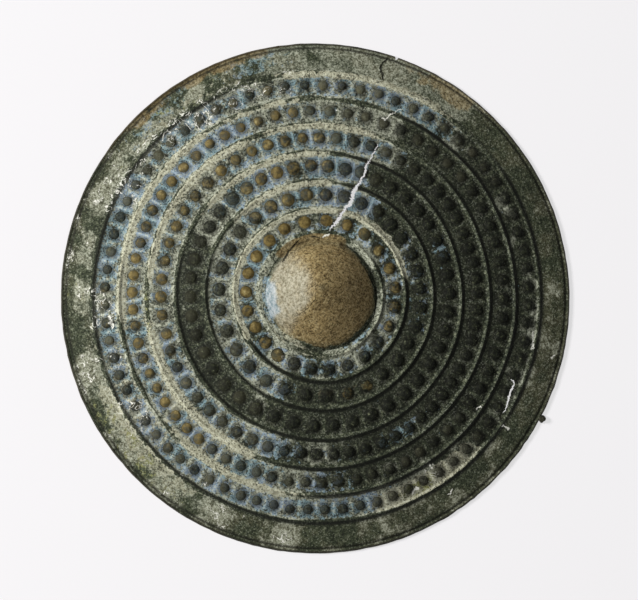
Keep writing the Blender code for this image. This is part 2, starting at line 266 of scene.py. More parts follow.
def ring_of_cells(ring):
    """Makes one ring of cells as a flat mesh, and notes where its studs are."""
    radius = middle_radius(ring)
    inner = RIB_RADII[ring] + RIB_WIDTH / 2 + BORDER_GAP
    outer = RIB_RADII[ring + 1] - RIB_WIDTH / 2 - BORDER_GAP
    angles = stud_angles(ring)
    kinds = ["stud"] * len(angles)
    if ring == 0:
        for rivet in rivet_angles:
            nearest = min(range(len(angles)), key=lambda i: away(angles[i], rivet))
            angles[nearest] += math.remainder(rivet - angles[nearest], FULL_TURN)
            kinds[nearest] = "rivet"
    points = []
    faces = []
    half = STUD_RINGS[ring][1] / 2
    for index, angle in enumerate(angles):
        before = (angle - angles[index - 1]) % FULL_TURN / 2
        after = (angles[(index + 1) % len(angles)] - angle) % FULL_TURN / 2
        size = half * hand.uniform(*SIZE_SPREAD)
        off_angle = hand.uniform(-MISS_AROUND, MISS_AROUND) / radius
        off_radius = hand.uniform(-MISS_ACROSS, MISS_ACROSS)
        rise = STUD_HEIGHT * hand.uniform(*RISE_SPREAD) * (1.0 if kinds[index] == "stud" else 0.0)
        tone = hand.random()
        centre = (radius + off_radius, angle + off_angle)
        studs.append((ring, *centre, size, rise, tone))
        across = cell_points[:, 1] / CELL_REACH
        turn = angle + np.where(across > 0, across * after, across * before)
        reach = inner + (outer - inner) * (cell_points[:, 0] / CELL_REACH + 1) / 2
        border = np.stack([reach * np.cos(turn), reach * np.sin(turn)], axis=1)
        ahead = np.array(polar(1.0, centre[1]))
        aside = np.array([-ahead[1], ahead[0]])
        disc = ahead * (centre[0] + size * cell_points[:, :1]) + aside * size * cell_points[:, 1:2]
        flat = np.where(on_border[:, None], border, disc)
        start = index * len(cell_points)
        points.append(np.column_stack([flat, np.zeros(len(flat))]))
        faces += [tuple(start + corner for corner in face) for face in cell_faces]
    obj = new_object(f"ring_{ring}", np.concatenate(points).tolist(), [], faces)
    edit_all(obj)
    bpy.ops.mesh.remove_doubles(threshold=MERGE_GAP)
    leave_edit()
    return obj, inner, outer


rings = [ring_of_cells(ring) for ring in range(len(STUD_RINGS))]
bpy.data.objects.remove(cell)
print("rings", [len(obj.data.vertices) for obj, _, _ in rings])

# %% [markdown]
# ## Boss, ribs and rim, grown outwards
#
# What lies between the rings is round all the way, so it is grown like a tree: the outer edge is selected,
# extruded and scaled to the next radius, again and again. The boss starts this way from a small circle,
# each ring of cells grows the rib outside it, and the last ring grows the rim. Everything is still flat,
# like a sheet before hammering, because a flat plan is easy to pick points on.

# %% Grow the flat plan
RIB_STEPS = (-0.5, -0.27, 0.0, 0.27, 0.5)
BOSS_LOOP_STEP = 0.0024
TIP_LOOP = 0.0012
BOSS_SIDES = 96
EDGE_REACH = 0.00002


def extrude_out(scale):
    """Extrudes the selected edges and scales the new ones about the shield's axis."""
    bpy.ops.mesh.extrude_edges_indiv()
    bpy.ops.transform.resize(value=(scale, scale, 1.0), center_override=(0.0, 0.0, 0.0))


def grow_outwards(obj, radius, radii):
    """Extrudes the outermost edge and scales it to each of these radii in turn."""
    edit_with(obj, plan_radius(positions(obj)) > radius - EDGE_REACH)
    for following in radii:
        extrude_out(following / radius)
        radius = following
    leave_edit()


def rib_loops(radius):
    return [radius + step * RIB_WIDTH for step in RIB_STEPS]


bpy.ops.object.select_all(action="DESELECT")
bpy.ops.mesh.primitive_circle_add(vertices=BOSS_SIDES, radius=TIP_LOOP, fill_type="TRIFAN")
boss = bpy.context.object
boss_loops = list(np.arange(TIP_LOOP + BOSS_LOOP_STEP, BOSS_RADIUS - 0.001, BOSS_LOOP_STEP))
boss_loops += [BOSS_RADIUS - 0.0004, BOSS_RADIUS + 0.0006, BOSS_RADIUS + 0.0018]
grow_outwards(boss, TIP_LOOP, boss_loops + rib_loops(RIB_RADII[0]))

LIP_START = RADIUS - LIP_WIDTH
LIP_CREST = RADIUS - 0.55 * LIP_WIDTH
GROOVE_START = LIP_START - GROOVE_WIDTH
band_loops = list(np.linspace(RIB_RADII[-1] + 0.65 * RIB_WIDTH, GROOVE_START - 0.0012, 7))
edge_loops = [GROOVE_START, GROOVE_START + 0.3 * GROOVE_WIDTH, GROOVE_START + 0.7 * GROOVE_WIDTH]
edge_loops += [LIP_START, LIP_START + 0.2 * LIP_WIDTH, LIP_CREST, RADIUS - 0.18 * LIP_WIDTH]
for ring, (obj, inner, outer) in enumerate(rings):
    loops = rib_loops(RIB_RADII[ring + 1])
    if ring == len(rings) - 1:
        loops += band_loops + edge_loops
    grow_outwards(obj, outer, loops)
print("boss loops", len(boss_loops), "rim loops", len(band_loops + edge_loops))

# %% [markdown]
# ## Stitch the parts into one sheet
#
# Each rib ends at a circle just inside the next ring of cells, and the two circles differ in their number
# of points and in their spacing. Bridge Edge Loops pairs points by count, which would twist the strip
# here. So the strip is laid by a small rule instead: walk round both circles at once and always step to
# the point that comes next in angle. It gives one closed strip of triangles.

# %% Join and stitch
CIRCLE_REACH = 0.00003


def stitch(obj, inner_radius, outer_radius):
    """Fills the strip between two circles of points."""
    strip = bmesh.new()
    strip.from_mesh(obj.data)
    circles = []
    for radius in (inner_radius, outer_radius):
        circle = []
        for vert in strip.verts:
            if abs(math.hypot(vert.co.x, vert.co.y) - radius) < CIRCLE_REACH:
                circle.append((math.atan2(vert.co.y, vert.co.x), vert))
        circle.sort(key=lambda item: item[0])
        circles.append(circle + [(circle[0][0] + FULL_TURN, circle[0][1])])
    inner, outer = circles
    i = 0
    j = 0
    while i < len(inner) - 1 or j < len(outer) - 1:
        outer_is_done = j == len(outer) - 1
        inner_is_done = i == len(inner) - 1
        if outer_is_done or (not inner_is_done and inner[i + 1][0] <= outer[j + 1][0]):
            strip.faces.new((inner[i][1], outer[j][1], inner[i + 1][1]))
            i += 1
        else:
            strip.faces.new((inner[i][1], outer[j][1], outer[j + 1][1]))
            j += 1
    strip.to_mesh(obj.data)
    strip.free()


sheet = boss
only(sheet, *[obj for obj, _, _ in rings])
bpy.ops.object.join()
for rib, (_, ring_start, _) in zip(RIB_RADII, rings):
    stitch(sheet, rib_loops(rib)[-1], ring_start)
edit_all(sheet)
face_outwards()
leave_edit()
if sheet.data.polygons[0].normal.z < 0:
    edit_all(sheet)
    bpy.ops.mesh.flip_normals()
    leave_edit()
sheet.name = sheet.data.name = "buckler_sheet"
print("flat sheet", len(sheet.data.vertices), "points")

# %% [markdown]
# ## Hammering the relief
#
# A smith raises such a sheet from behind: first the dome, then the boss, the ribs along a scratched
# circle, and last the studs, one blow each. In the script all of that is one rule that says how high the
# face stands over each point of the flat plan. One rule is better than many small edits here, because the
# same rule later tells the finish which point is a rib, a stud or a hollow.

# %% The even forms: dome, ribs, groove and lip
def dome_height(radius):
    return HEM_HEIGHT + DOME_RISE * (1.0 - (radius / RADIUS) ** 2)


BOSS_FOOT = dome_height(BOSS_RADIUS)
BOSS_HEIGHT = TIP_HEIGHT - BOSS_FOOT


def uneven(points, size, seed):
    """Smooth unevenness between -1 and 1 with lumps of about this size."""
    return np.array([noise.noise(Vector((x / size, y / size, seed))) for x, y in points[:, :2]])


def lumpy(points, rows):
    """Sums several unevennesses, each given by its height, size and seed."""
    return sum(height * uneven(points, size, seed) for height, size, seed in rows)


def smooth_step(values):
    values = np.clip(values, 0.0, 1.0)
    return values * values * (3.0 - 2.0 * values)


def bell(distance, width):
    return np.exp(-((distance / width) ** 2))


def rib_height(plan, radius):
    aside = (plan[:, 1] - plan[:, 0]) / (math.sqrt(2.0) * np.maximum(radius, 0.001))
    worn = RIB_HEIGHT * (1.0 + 0.35 * uneven(plan, 0.030, 8.0)) * (0.80 - 0.22 * aside)
    height = np.zeros(len(plan))
    for rib in RIB_RADII:
        share = (radius - rib) / RIB_WIDTH
        height += np.where(np.abs(share) < 0.5, worn * np.cos(math.pi * share) ** 2, 0.0)
    return height


def edge_height(radius):
    """The groove sinks and the lip rises just inside the edge."""
    groove = np.clip((radius - GROOVE_START) / GROOVE_WIDTH, 0.0, 1.0)
    lip = np.clip((radius - LIP_START) / LIP_WIDTH, 0.0, 1.0)
    return LIP_HEIGHT * np.sin(math.pi * lip) ** 2 - GROOVE_DEPTH * np.sin(math.pi * groove) ** 2


print("boss rises", round(BOSS_HEIGHT, 4), "from", round(BOSS_FOOT, 4))

# %% The free forms: boss, studs, dents and the lifted sides of the split
SPLIT_COURSE = (
    (0.0503, 82.5, 0.0006),
    (0.0596, 77.4, 0.0036),
    (0.0674, 74.6, 0.0024),
    (0.0750, 72.3, 0.0036),
    (0.0870, 71.6, 0.0040),
    (0.0940, 70.5, 0.0020),
    (0.1080, 70.1, 0.0024),
    (0.1149, 69.3, 0.0014),
    (0.1277, 68.8, 0.0008),
)
BOSS_FOLD_TURN = math.radians(236.0)
BOSS_FOLD_HEIGHT = 0.0020
BOSS_KNOCKS = ((0.0020, 0.021, 21.0), (0.0006, 0.008, 23.0))
BOSS_TIP_ROUND = 0.0016
BOSS_CREVICE = 0.0007
BOSS_LUMP = (0.0130, 0.0412)
BOSS_LUMP_HEIGHT = 0.0032
STUD_FOOT = 1.12
STUD_FOOT_SINK = 0.00018
SPLIT_UP = 0.0007
SPLIT_DOWN = -0.0004
DENTS = ((0.0007, 0.060, 3.0), (0.00035, 0.018, 5.0))


def boss_height(plan, radius):
    """A cone with full sides, knocked about, with a soft fold from the tip to the lower left."""
    share = np.clip(radius / BOSS_RADIUS, 0.0, 1.0)
    cone = BOSS_HEIGHT * (1.0 - np.sqrt(share**2 + BOSS_TIP_ROUND) ** BOSS_FULLNESS)
    east, north = polar(1.0, BOSS_FOLD_TURN)
    along = plan[:, 0] * east + plan[:, 1] * north
    across = plan[:, 1] * east - plan[:, 0] * north
    fold = BOSS_FOLD_HEIGHT * bell(across, 0.0050) * bell(along - 0.014, 0.014)
    knocks = lumpy(plan, BOSS_KNOCKS)
    crevice = BOSS_CREVICE * bell(radius - BOSS_RADIUS - 0.0006, 0.0009)
    spread = (1.0 - share**4) * (share < 1.0)
    to_lump = np.hypot(plan[:, 0] - BOSS_LUMP[0], plan[:, 1] - BOSS_LUMP[1])
    lump = BOSS_LUMP_HEIGHT * bell(to_lump, 0.0042)
    return np.maximum(0.0, cone) + (fold + knocks - 0.0012) * spread + lump - crevice


def stud_gap(plan, radius, turn, size):
    """How far each point is from the middle of one stud, in radii of that stud."""
    east, north = polar(radius, turn)
    return np.hypot(plan[:, 0] - east, plan[:, 1] - north) / size


def stud_height(plan):
    height = np.zeros(len(plan))
    for _, radius, turn, size, rise, _ in studs:
        gap = stud_gap(plan, radius, turn, size)
        near = gap < 1.5
        dome = rise * (1.0 - np.clip(gap[near], 0.0, 1.0) ** 2.5)
        foot = STUD_FOOT_SINK * bell(gap[near] - STUD_FOOT, 0.14)
        height[near] += dome - foot * (rise > 0.0)
    return height


def split_lift(plan, radius):
    """The sheet curls up a little on one side of the split and down on the other."""
    radii, angles, _ = zip(*SPLIT_COURSE)
    course = np.radians(np.interp(radius, radii, angles))
    aside = radius * (np.arctan2(plan[:, 1], plan[:, 0]) - course)
    within = bell(np.clip(radii[0] - radius, 0.0, None) + np.clip(radius - radii[-1], 0.0, None), 0.004)
    return within * np.where(aside > 0.0, SPLIT_UP, SPLIT_DOWN) * bell(aside, 0.0045)


def face_height(plan):
    """Height of the face over points of the flat plan."""
    radius = plan_radius(plan)
    calm = np.clip((RADIUS - 0.010 - radius) / 0.02, 0.0, 1.0)
    relief = lumpy(plan, DENTS) + rib_height(plan, radius)
    height = dome_height(radius) + edge_height(radius) + calm * relief
    return height + boss_height(plan, radius) + stud_height(plan) + split_lift(plan, radius)


print("split from", SPLIT_COURSE[0][0], "to", SPLIT_COURSE[-1][0])

# %% [markdown]
# ## From the plan to the sheet and back
#
# Two sideways moves make the work look made by hand: the circles sway by less than a millimetre, the ribs
# with a slip of their own, and the boss leans. Both can be undone by the last function here, which leads
# from a point of the finished sheet back to the flat plan.

# %% Raise the sheet
SWAY = 0.0009
SWAY_LUMPS = 0.055
SLIP_INWARDS = 0.0009
SLIP_LEFT = (-0.0008, 0.0)
RIB_SLIPS = (0.4, 0.8, 1.0, 1.0, 1.0, 1.0, 1.0)


def sway(points):
    """Small sideways wander of the circles. The ribs also slip a little inwards and to the left."""
    calm = np.clip((RADIUS - 0.012 - plan_radius(points)) / 0.03, 0.0, 1.0)
    east = uneven(points, SWAY_LUMPS, 31.0)
    north = uneven(points, SWAY_LUMPS, 37.0)
    radius = plan_radius(points)
    near_rib = sum(bell(radius - rib, RIB_WIDTH) * slip for rib, slip in zip(RIB_RADII, RIB_SLIPS))
    inwards = -points[:, :2] / np.maximum(radius, 0.001)[:, None]
    slip = near_rib[:, None] * (SLIP_INWARDS * inwards + np.array(SLIP_LEFT))
    return SWAY * calm[:, None] * np.column_stack([east, north]) + slip


def leaning(height):
    share = np.clip((height - BOSS_FOOT - 0.0015) / BOSS_HEIGHT, 0.0, 1.0)
    return share[:, None] * np.array(BOSS_LEAN)


def raised(plan):
    """The finished place of points of the flat plan."""
    height = face_height(plan)
    inside = plan_radius(plan) < BOSS_RADIUS
    place = plan[:, :2] + sway(plan) + leaning(height) * inside[:, None]
    return np.column_stack([place, height])


def plan_of(points):
    """The place on the flat plan of points of the finished sheet."""
    inside = plan_radius(points) < BOSS_RADIUS + 0.003
    place = points[:, :2] - leaning(points[:, 2]) * inside[:, None]
    return place - sway(place)


place_points(sheet, raised(positions(sheet)))
print("highest point", round(positions(sheet)[:, 2].max(), 4))

# %% [markdown]
# ## A true wall and a folded hem
#
# The back of a hammered sheet shows the same relief the other way round, so the face is copied, moved
# inwards by the wall with Shrink/Fatten and turned over. At the edge the sheet is folded under for
# strength. That hem is grown from the lip like the rest, one extrusion for each corner of its section,
# and ends where the back begins, so both can be bridged.

# %% Make the back
only(sheet)
bpy.ops.object.duplicate()
back = bpy.context.object
BACK_END = band_loops[-1] + 0.00005
edit_with(back, plan_radius(positions(back)) > BACK_END)
bpy.ops.mesh.delete(type="VERT")
face_outwards()
bpy.ops.transform.shrink_fatten(value=-WALL)
bpy.ops.mesh.flip_normals()
leave_edit()
print("back points", len(back.data.vertices), "lowest", round(positions(back)[:, 2].min(), 4))

# %% Grow the hem and bridge it to the back
HEM_INSIDE = RADIUS - HEM_WIDTH
hem_section = (
    (RADIUS, HEM_HEIGHT / 2),
    (RADIUS - HEM_CHAMFER / 3, HEM_CHAMFER / 3),
    (RADIUS - HEM_CHAMFER, 0.0),
    (HEM_INSIDE + HEM_CHAMFER, 0.0),
    (HEM_INSIDE, HEM_CHAMFER),
    (HEM_INSIDE, HEM_HEIGHT),
)
radius = plan_radius(positions(sheet)).max()
edit_with(sheet, plan_radius(positions(sheet)) > radius - EDGE_REACH)
for following, height in hem_section:
    extrude_out(following / radius)
    bpy.ops.transform.resize(value=(1.0, 1.0, 0.0), center_override=(0.0, 0.0, height))
    radius = following
leave_edit()
only(sheet, back)
bpy.ops.object.join()
bpy.ops.object.mode_set(mode="EDIT")
bridge_borders()
face_outwards()
leave_edit()
print("closed sheet", len(sheet.data.vertices), "points")

# %% [markdown]
# ## The edge is not a perfect circle
#
# Corrosion has eaten small bites out of the edge, most of them at the lower right, and has left one hard
# little knob there. Moving the points in or out by a smooth unevenness does the bites.

# %% Bite the edge
BITE_REACH = 0.010
BITE_DEPTH = 0.00035
LOW_RIGHT_BITES = 0.00045
LOW_RIGHT = 315.0
points = positions(sheet)
near_edge = np.clip((plan_radius(points) - RADIUS + BITE_REACH) / BITE_REACH, 0.0, 1.0)
eaten = BITE_DEPTH + LOW_RIGHT_BITES * bell((plan_degrees(points) - LOW_RIGHT) / 20.0, 1.0)
bites = near_edge * eaten * (uneven(points, 0.009, 41.0) + 0.6 * uneven(points, 0.004, 43.0) - 0.15)
points[:, :2] *= 1.0 + (bites / RADIUS)[:, None]
place_points(sheet, points)
print("widest", round(plan_radius(points).max(), 4))

# %% [markdown]
# ## The split, the tears and the holes
#
# Beside the boss the sheet has torn along a crooked line. A tear is cut with a Boolean: a strip of quads
# follows the tear's course, is extruded upwards into a blade and taken away from the sheet. A blade that
# starts below the whole sheet cuts through it. One that starts just under the face leaves a dark crack.
# The cutters of each kind are joined first, so that two Booleans do all the work.

# %% Courses of the tears and cracks
# radius, angle in degrees and width of each mark on the way
TEAR_COURSE = (
    (0.1645, -23.0, 0.0006),
    (0.1666, -23.0, 0.0014),
    (0.1686, -23.4, 0.0013),
    (0.1684, -24.6, 0.0020),
    (0.1682, -26.0, 0.0023),
    (0.1694, -27.7, 0.0025),
    (0.1711, -29.2, 0.0020),
    (0.1722, -30.6, 0.0014),
    (0.1716, -31.8, 0.0005),
)
EDGE_CRACK = (
    (0.1790, 72.9, 0.0006),
    (0.1815, 73.4, 0.0022),
    (0.1842, 74.1, 0.0029),
    (0.1880, 74.6, 0.0021),
    (0.1915, 74.3, 0.0016),
    (0.1940, 73.8, 0.0022),
    (0.1968, 73.5, 0.0014),
)
NICK_COURSE = ((0.1974, 71.6, 0.0010), (0.1986, 71.5, 0.0026), (0.2040, 71.4, 0.0060))
BOSS_CRACKS = (
    ((0.0462, 110.0, 0.0004), (0.0448, 117.0, 0.0018), (0.0426, 125.0, 0.0015), (0.0408, 132.0, 0.0024),
     (0.0396, 138.0, 0.0022), (0.0390, 141.0, 0.0005)),
    ((0.0446, 91.0, 0.0003), (0.0449, 94.0, 0.0012), (0.0460, 98.0, 0.0014), (0.0465, 101.0, 0.0003)),
    ((0.0446, -30.0, 0.0004), (0.0437, -18.0, 0.0012), (0.0430, -4.0, 0.0014), (0.0419, 9.0, 0.0015),
     (0.0402, 20.0, 0.0010), (0.0396, 28.0, 0.0012), (0.0398, 36.0, 0.0004)),
    ((0.0040, 200.0, 0.0002), (0.0100, 238.0, 0.0005), (0.0200, 231.0, 0.0006), (0.0290, 222.0, 0.0002)),
    ((0.0060, 160.0, 0.0002), (0.0130, 190.0, 0.0004), (0.0190, 186.0, 0.0002)),
)
print("courses", 3 + len(BOSS_CRACKS), "and the split")

# %% Blades and drills
CRACK_DEPTH = 0.0008
CUT_BOTTOM = -0.01
CUT_TOP = 0.12
# a blade has at least this many steps, and a radian is rounded to this many degrees to count them
FEWEST_STEPS = 6
ROUGH_RADIAN = 60.0
ROUGH_EDGE = (0.55, 1.05)


def blade(course, stride, rough, depth=None):
    """A blade along a course of radius, angle and width. It cuts this deep into the face, or through."""
    radii, angles, widths = zip(*course)
    marks = np.linspace(0.0, 1.0, len(course))
    outwards = abs(radii[-1] - radii[0])
    sideways = abs(angles[-1] - angles[0]) * radii[0] / ROUGH_RADIAN
    steps = max(FEWEST_STEPS, round((1.4 * outwards + sideways) / stride))
    rows = []
    for share in np.linspace(0.0, 1.0, steps):
        radius, angle, width = (np.interp(share, marks, values) for values in (radii, angles, widths))
        bend = hand.uniform(-rough, rough) if 0.0 < share < 1.0 else 0.0
        middle = np.array(polar(radius, math.radians(angle)))
        rows.append((middle, bend, width))
    points = []
    for index, (middle, bend, width) in enumerate(rows):
        ahead = rows[min(index + 1, len(rows) - 1)][0] - rows[max(index - 1, 0)][0]
        aside = np.array([-ahead[1], ahead[0]]) / np.linalg.norm(ahead)
        for side in (0.5, -0.5):
            points.append(middle + aside * (bend + side * width * hand.uniform(*ROUGH_EDGE)))
    place = raised(np.array(points))
    place[:, 2] = CUT_BOTTOM if depth is None else place[:, 2] - depth
    corners = place.tolist()
    faces = [(row, row + 1, row + 3, row + 2) for row in range(0, len(corners) - 2, 2)]
    cutter = new_object("blade", corners, [], faces)
    edit_all(cutter)
    rise = CUT_TOP if depth is None else 6 * CRACK_DEPTH
    bpy.ops.mesh.extrude_region_move(TRANSFORM_OT_translate={"value": (0.0, 0.0, rise)})
    face_outwards()
    leave_edit()
    return cutter


def drill(radius, angle, width, lean=0.0):
    """A round cutter that stands on the sheet at this radius and angle."""
    place = (*polar(radius, angle), dome_height(radius))
    bpy.ops.object.select_all(action="DESELECT")
    bpy.ops.mesh.primitive_cylinder_add(vertices=20, radius=width / 2, depth=0.02, location=place)
    bpy.context.object.rotation_euler = (0.0, lean, angle)
    bpy.ops.object.transform_apply(location=True, rotation=True, scale=True)
    return bpy.context.object


def boolean(target, cutter, operation):
    only(target)
    modifier = target.modifiers.new("cut", "BOOLEAN")
    modifier.operation = operation
    modifier.solver = "EXACT"
    modifier.object = cutter
    bpy.ops.object.modifier_apply(modifier=modifier.name)
    bpy.data.objects.remove(cutter)


print("a crack is", CRACK_DEPTH, "deep")

# %% Cut the tears, cracks and holes
RIVET_RADIUS = middle_radius(0)
RIVET_LEAN = math.atan(2.0 * DOME_RISE * RIVET_RADIUS / RADIUS**2)
RIVET_HOLE = 0.0048
PINHOLE = (0.1462, math.radians(84.6), 0.0011)
tears = [blade(SPLIT_COURSE, 0.0008, 0.0009), blade(TEAR_COURSE, 0.0008, 0.0004)]
tears += [blade(NICK_COURSE, 0.0012, 0.0002)]
tears += [drill(RIVET_RADIUS, angle, RIVET_HOLE, RIVET_LEAN) for angle in rivet_angles]
tears += [drill(*PINHOLE)]
cracks = [blade(course, 0.0014, 0.0004, CRACK_DEPTH) for course in (EDGE_CRACK, *BOSS_CRACKS)]
for cutters in (tears, cracks):
    only(*cutters)
    bpy.ops.object.join()
    boolean(sheet, cutters[0], "DIFFERENCE")
    print("cut sheet", len(sheet.data.vertices), "points")

# %% The knob of corrosion on the edge
KNOB_TURN = math.radians(-28.0)
KNOB_SIZE = 0.0029
KNOB_OVERHANG = 0.0012
knob_place = (*polar(RADIUS + KNOB_OVERHANG, KNOB_TURN), KNOB_SIZE)
bpy.ops.object.select_all(action="DESELECT")
bpy.ops.mesh.primitive_ico_sphere_add(subdivisions=3, radius=KNOB_SIZE, location=knob_place)
knob = bpy.context.object
bpy.ops.object.transform_apply(location=True, rotation=True, scale=True)
knob_points = positions(knob)
outward = knob_points - np.array(knob_place)
knob_points += outward * (0.35 * uneven(knob_points + knob_points[:, 2:], 0.0022, 3.0))[:, None]
knob_points[:, 2] = np.maximum(knob_points[:, 2], 0.0002)
place_points(knob, knob_points)
boolean(sheet, knob, "UNION")
print("sheet with knob", len(sheet.data.vertices), "points")

# %% [markdown]
# ## Notes for the patina
#
# The finish needs to know where it is. For that the sheet gets named attributes, one number for each
# point: is this a stud, does blue patina cover it, do dirt and painted shade darken it. They are worked out
# from the flat plan. Bands count outwards: -1 is the middle of the boss and -0.4 its foot, 0 to 6 are the
# ribs, halves are the rings of studs between them, and 7 is the edge. A patch of patina covers some bands
# and angles.

# %% Patches of patina by band and angle
BAND_RADII = (0.0, BOSS_RADIUS, *RIB_RADII, RADIUS)
BAND_NUMBERS = (-1.0, -0.4, 0.0, 1.0, 2.0, 3.0, 4.0, 5.0, 6.0, 7.0)

# first band, last band, first angle, last angle, share that is covered
GROUND = (
    (-0.38, 0.95, 118, 212, 0.64),
    (-0.38, 0.95, 0, 360, 0.50),
    (1.05, 1.95, 58, 250, 0.72),
    (1.05, 1.95, 250, 415, 0.26),
    (2.05, 2.95, 68, 158, 0.71),
    (3.05, 3.95, 56, 255, 0.76),
    (3.05, 3.95, 250, 306, 0.38),
    (4.05, 4.95, 60, 130, 0.72),
    (4.05, 4.95, 120, 268, 0.80),
    (4.05, 4.95, 262, 312, 0.32),
    (5.05, 5.95, 44, 120, 0.76),
    (5.05, 5.95, 110, 305, 0.86),
    (5.05, 5.95, 305, 404, 0.40),
    (6.05, 6.60, 46, 110, 0.80),
    (6.05, 6.60, 110, 190, 0.62),
    (6.60, 6.98, 46, 112, 0.76),
    (6.60, 6.98, 112, 190, 0.44),
    (6.05, 6.60, 190, 250, 0.70),
    (6.60, 6.98, 190, 250, 0.58),
    (6.05, 6.98, 250, 330, 0.44),
    (6.05, 6.98, 330, 406, 0.34),
    (2.05, 2.95, 158, 250, 0.26),
)
BLUE = (
    (0.10, 0.90, 0, 360, 0.43),
    (0.10, 0.90, 138, 196, 0.60),
    (1.10, 1.90, 54, 110, 0.68),
    (1.10, 1.90, 110, 142, 0.60),
    (1.10, 1.90, 142, 205, 0.46),
    (1.10, 1.90, 205, 255, 0.58),
    (1.10, 1.90, 335, 392, 0.36),
    (2.10, 2.90, 66, 100, 0.78),
    (2.10, 2.90, 100, 142, 0.62),
    (3.10, 3.90, 60, 135, 0.58),
    (3.10, 3.90, 135, 188, 0.46),
    (3.10, 3.90, 188, 245, 0.54),
    (3.10, 3.90, 240, 262, 0.68),
    (3.10, 3.90, 262, 300, 0.26),
    (4.10, 4.90, 78, 108, 0.52),
    (4.10, 4.90, 108, 172, 0.72),
    (4.10, 4.90, 172, 262, 0.62),
    (4.10, 4.90, 262, 282, 0.50),
    (5.10, 5.90, 48, 105, 0.58),
    (5.10, 5.90, 105, 142, 0.60),
    (5.10, 5.90, 142, 182, 0.68),
    (5.10, 5.90, 180, 292, 0.60),
    (6.20, 6.80, 96, 114, 0.56),
    (6.20, 6.85, 120, 142, 0.50),
    (-0.42, -0.10, 152, 216, 0.50),
    (-0.36, -0.10, 296, 330, 0.64),
    (2.20, 2.80, 16, 26, 0.66),
    (1.2, 1.8, 26, 36, 0.50),
    (3.2, 3.8, 288, 312, 0.46),
)
CRUST = (
    (-0.10, 0.06, 150, 245, 0.56),
    (-0.08, 0.05, 245, 330, 0.60),
    (-0.08, 0.04, 330, 510, 0.40),
    (0.84, 1.12, 10, 215, 0.86),
    (1.84, 2.12, 82, 138, 0.86),
    (2.84, 3.12, 86, 146, 0.78),
    (3.82, 4.14, 64, 112, 0.70),
    (3.82, 4.14, 112, 178, 0.82),
    (3.80, 4.18, 188, 248, 0.90),
    (4.84, 5.14, 94, 122, 0.60),
    (4.84, 5.14, 122, 190, 0.86),
    (4.84, 5.14, 220, 264, 0.82),
    (3.90, 4.60, 205, 224, 0.62),
    (4.00, 4.90, 160, 250, 0.38),
    (5.84, 6.14, 52, 104, 0.78),
    (5.15, 5.95, 195, 228, 0.50),
    (5.15, 5.95, 284, 318, 0.88),
    (5.15, 5.95, 120, 200, 0.32),
    (6.05, 6.60, 104, 142, 0.40),
    (6.05, 6.60, 198, 240, 0.62),
    (6.05, 6.45, 174, 198, 0.40),
    (3.15, 3.85, 110, 150, 0.40),
    (-0.46, -0.16, 214, 262, 0.60),
)
DARK = (
    (2.04, 2.98, 150, 330, 0.42),
    (1.10, 1.90, 262, 400, 0.24),
    (2.10, 2.90, 330, 426, 0.56),
    (3.10, 3.90, 312, 412, 0.50),
    (4.10, 4.90, 318, 405, 0.50),
    (5.10, 5.90, 336, 390, 0.26),
    (1.90, 2.10, 170, 426, 0.26),
    (2.90, 3.10, 180, 426, 0.26),
)
BROWN = (
    (-1.0, -0.42, 0, 360, 1.0),
    (-0.46, 0.02, 62, 142, 0.84),
    (6.32, 6.96, 45, 71, 0.60),
    (6.08, 6.60, 52, 68, 0.50),
    (6.20, 6.90, 36, 46, 0.40),
    (6.10, 6.60, 74, 88, 0.30),
    (6.60, 6.98, 98, 142, 0.66),
    (1.2, 1.8, 262, 300, 0.45),
    (0.1, 0.9, 84, 118, 0.40),
)
OCHRE_STUDS = (
    (0.0, 1.0, -34, 44, 0.66),
    (0.0, 1.0, 36, 226, 0.95),
    (1.0, 2.0, 78, 142, 0.62),
    (1.0, 2.0, 276, 304, 0.50),
    (2.0, 3.0, 82, 128, 0.72),
    (3.0, 4.0, 85, 205, 0.68),
    (3.0, 4.0, 205, 262, 0.34),
    (4.0, 5.0, 92, 236, 0.72),
    (5.0, 6.0, 80, 128, 0.50),
    (5.0, 6.0, 160, 240, 0.45),
)
PALE_STUDS = (
    (3.0, 4.0, 56, 252, 0.60),
    (4.0, 6.0, 56, 252, 1.00),
    (0.0, 3.0, 56, 252, 0.35),
    (4.0, 6.0, 36, 80, 0.40),
    (4.0, 6.0, 252, 320, 0.30),
)
ROOTLETS = (
    (5.10, 6.95, 140, 222, 0.42),
    (5.10, 6.20, 92, 150, 0.60),
    (5.10, 5.90, 298, 308, 0.50),
    (5.6, 6.9, 225, 262, 0.36),
)
LIME = (
    (6.20, 6.85, 174, 182, 0.50),
    (6.10, 6.90, 200, 240, 0.42),
    (5.70, 6.70, 124, 158, 0.24),
    (3.9, 4.15, 165, 200, 0.40),
    (5.3, 5.9, 290, 308, 0.52),
    (6.10, 6.70, 112, 140, 0.38),
)

# rib, first angle, last angle, strength of the dirt and painted shade on its lee flank
LEE_DIRT_AND_SHADE_ARCS = (
    (0, 300, 400, 0.60),
    (0, 115, 300, 0.22),
    (1, 214, 375, 1.00),
    (2, 122, 160, 0.55),
    (2, 156, 250, 0.84),
    (2, 246, 438, 1.00),
    (3, 132, 164, 0.50),
    (3, 160, 250, 0.88),
    (3, 246, 441, 1.00),
    (4, 256, 406, 1.00),
    (5, 266, 428, 1.00),
    (5, 168, 214, 0.60),
    (6, 112, 200, 1.00),
    (6, 196, 330, 0.84),
    (6, 326, 398, 0.94),
)
print("patches", len(GROUND + BLUE + CRUST + DARK + BROWN + OCHRE_STUDS + PALE_STUDS + ROOTLETS + LIME))

# %% Where each patch and line lies
# the lee of the ribs, where the lines of dirt and painted shade lie, faces this way, away from the lamp
LEE_TURN = math.radians(-20.0)
SOFT_DEGREES = 14.0
SOFT_BAND = 0.12


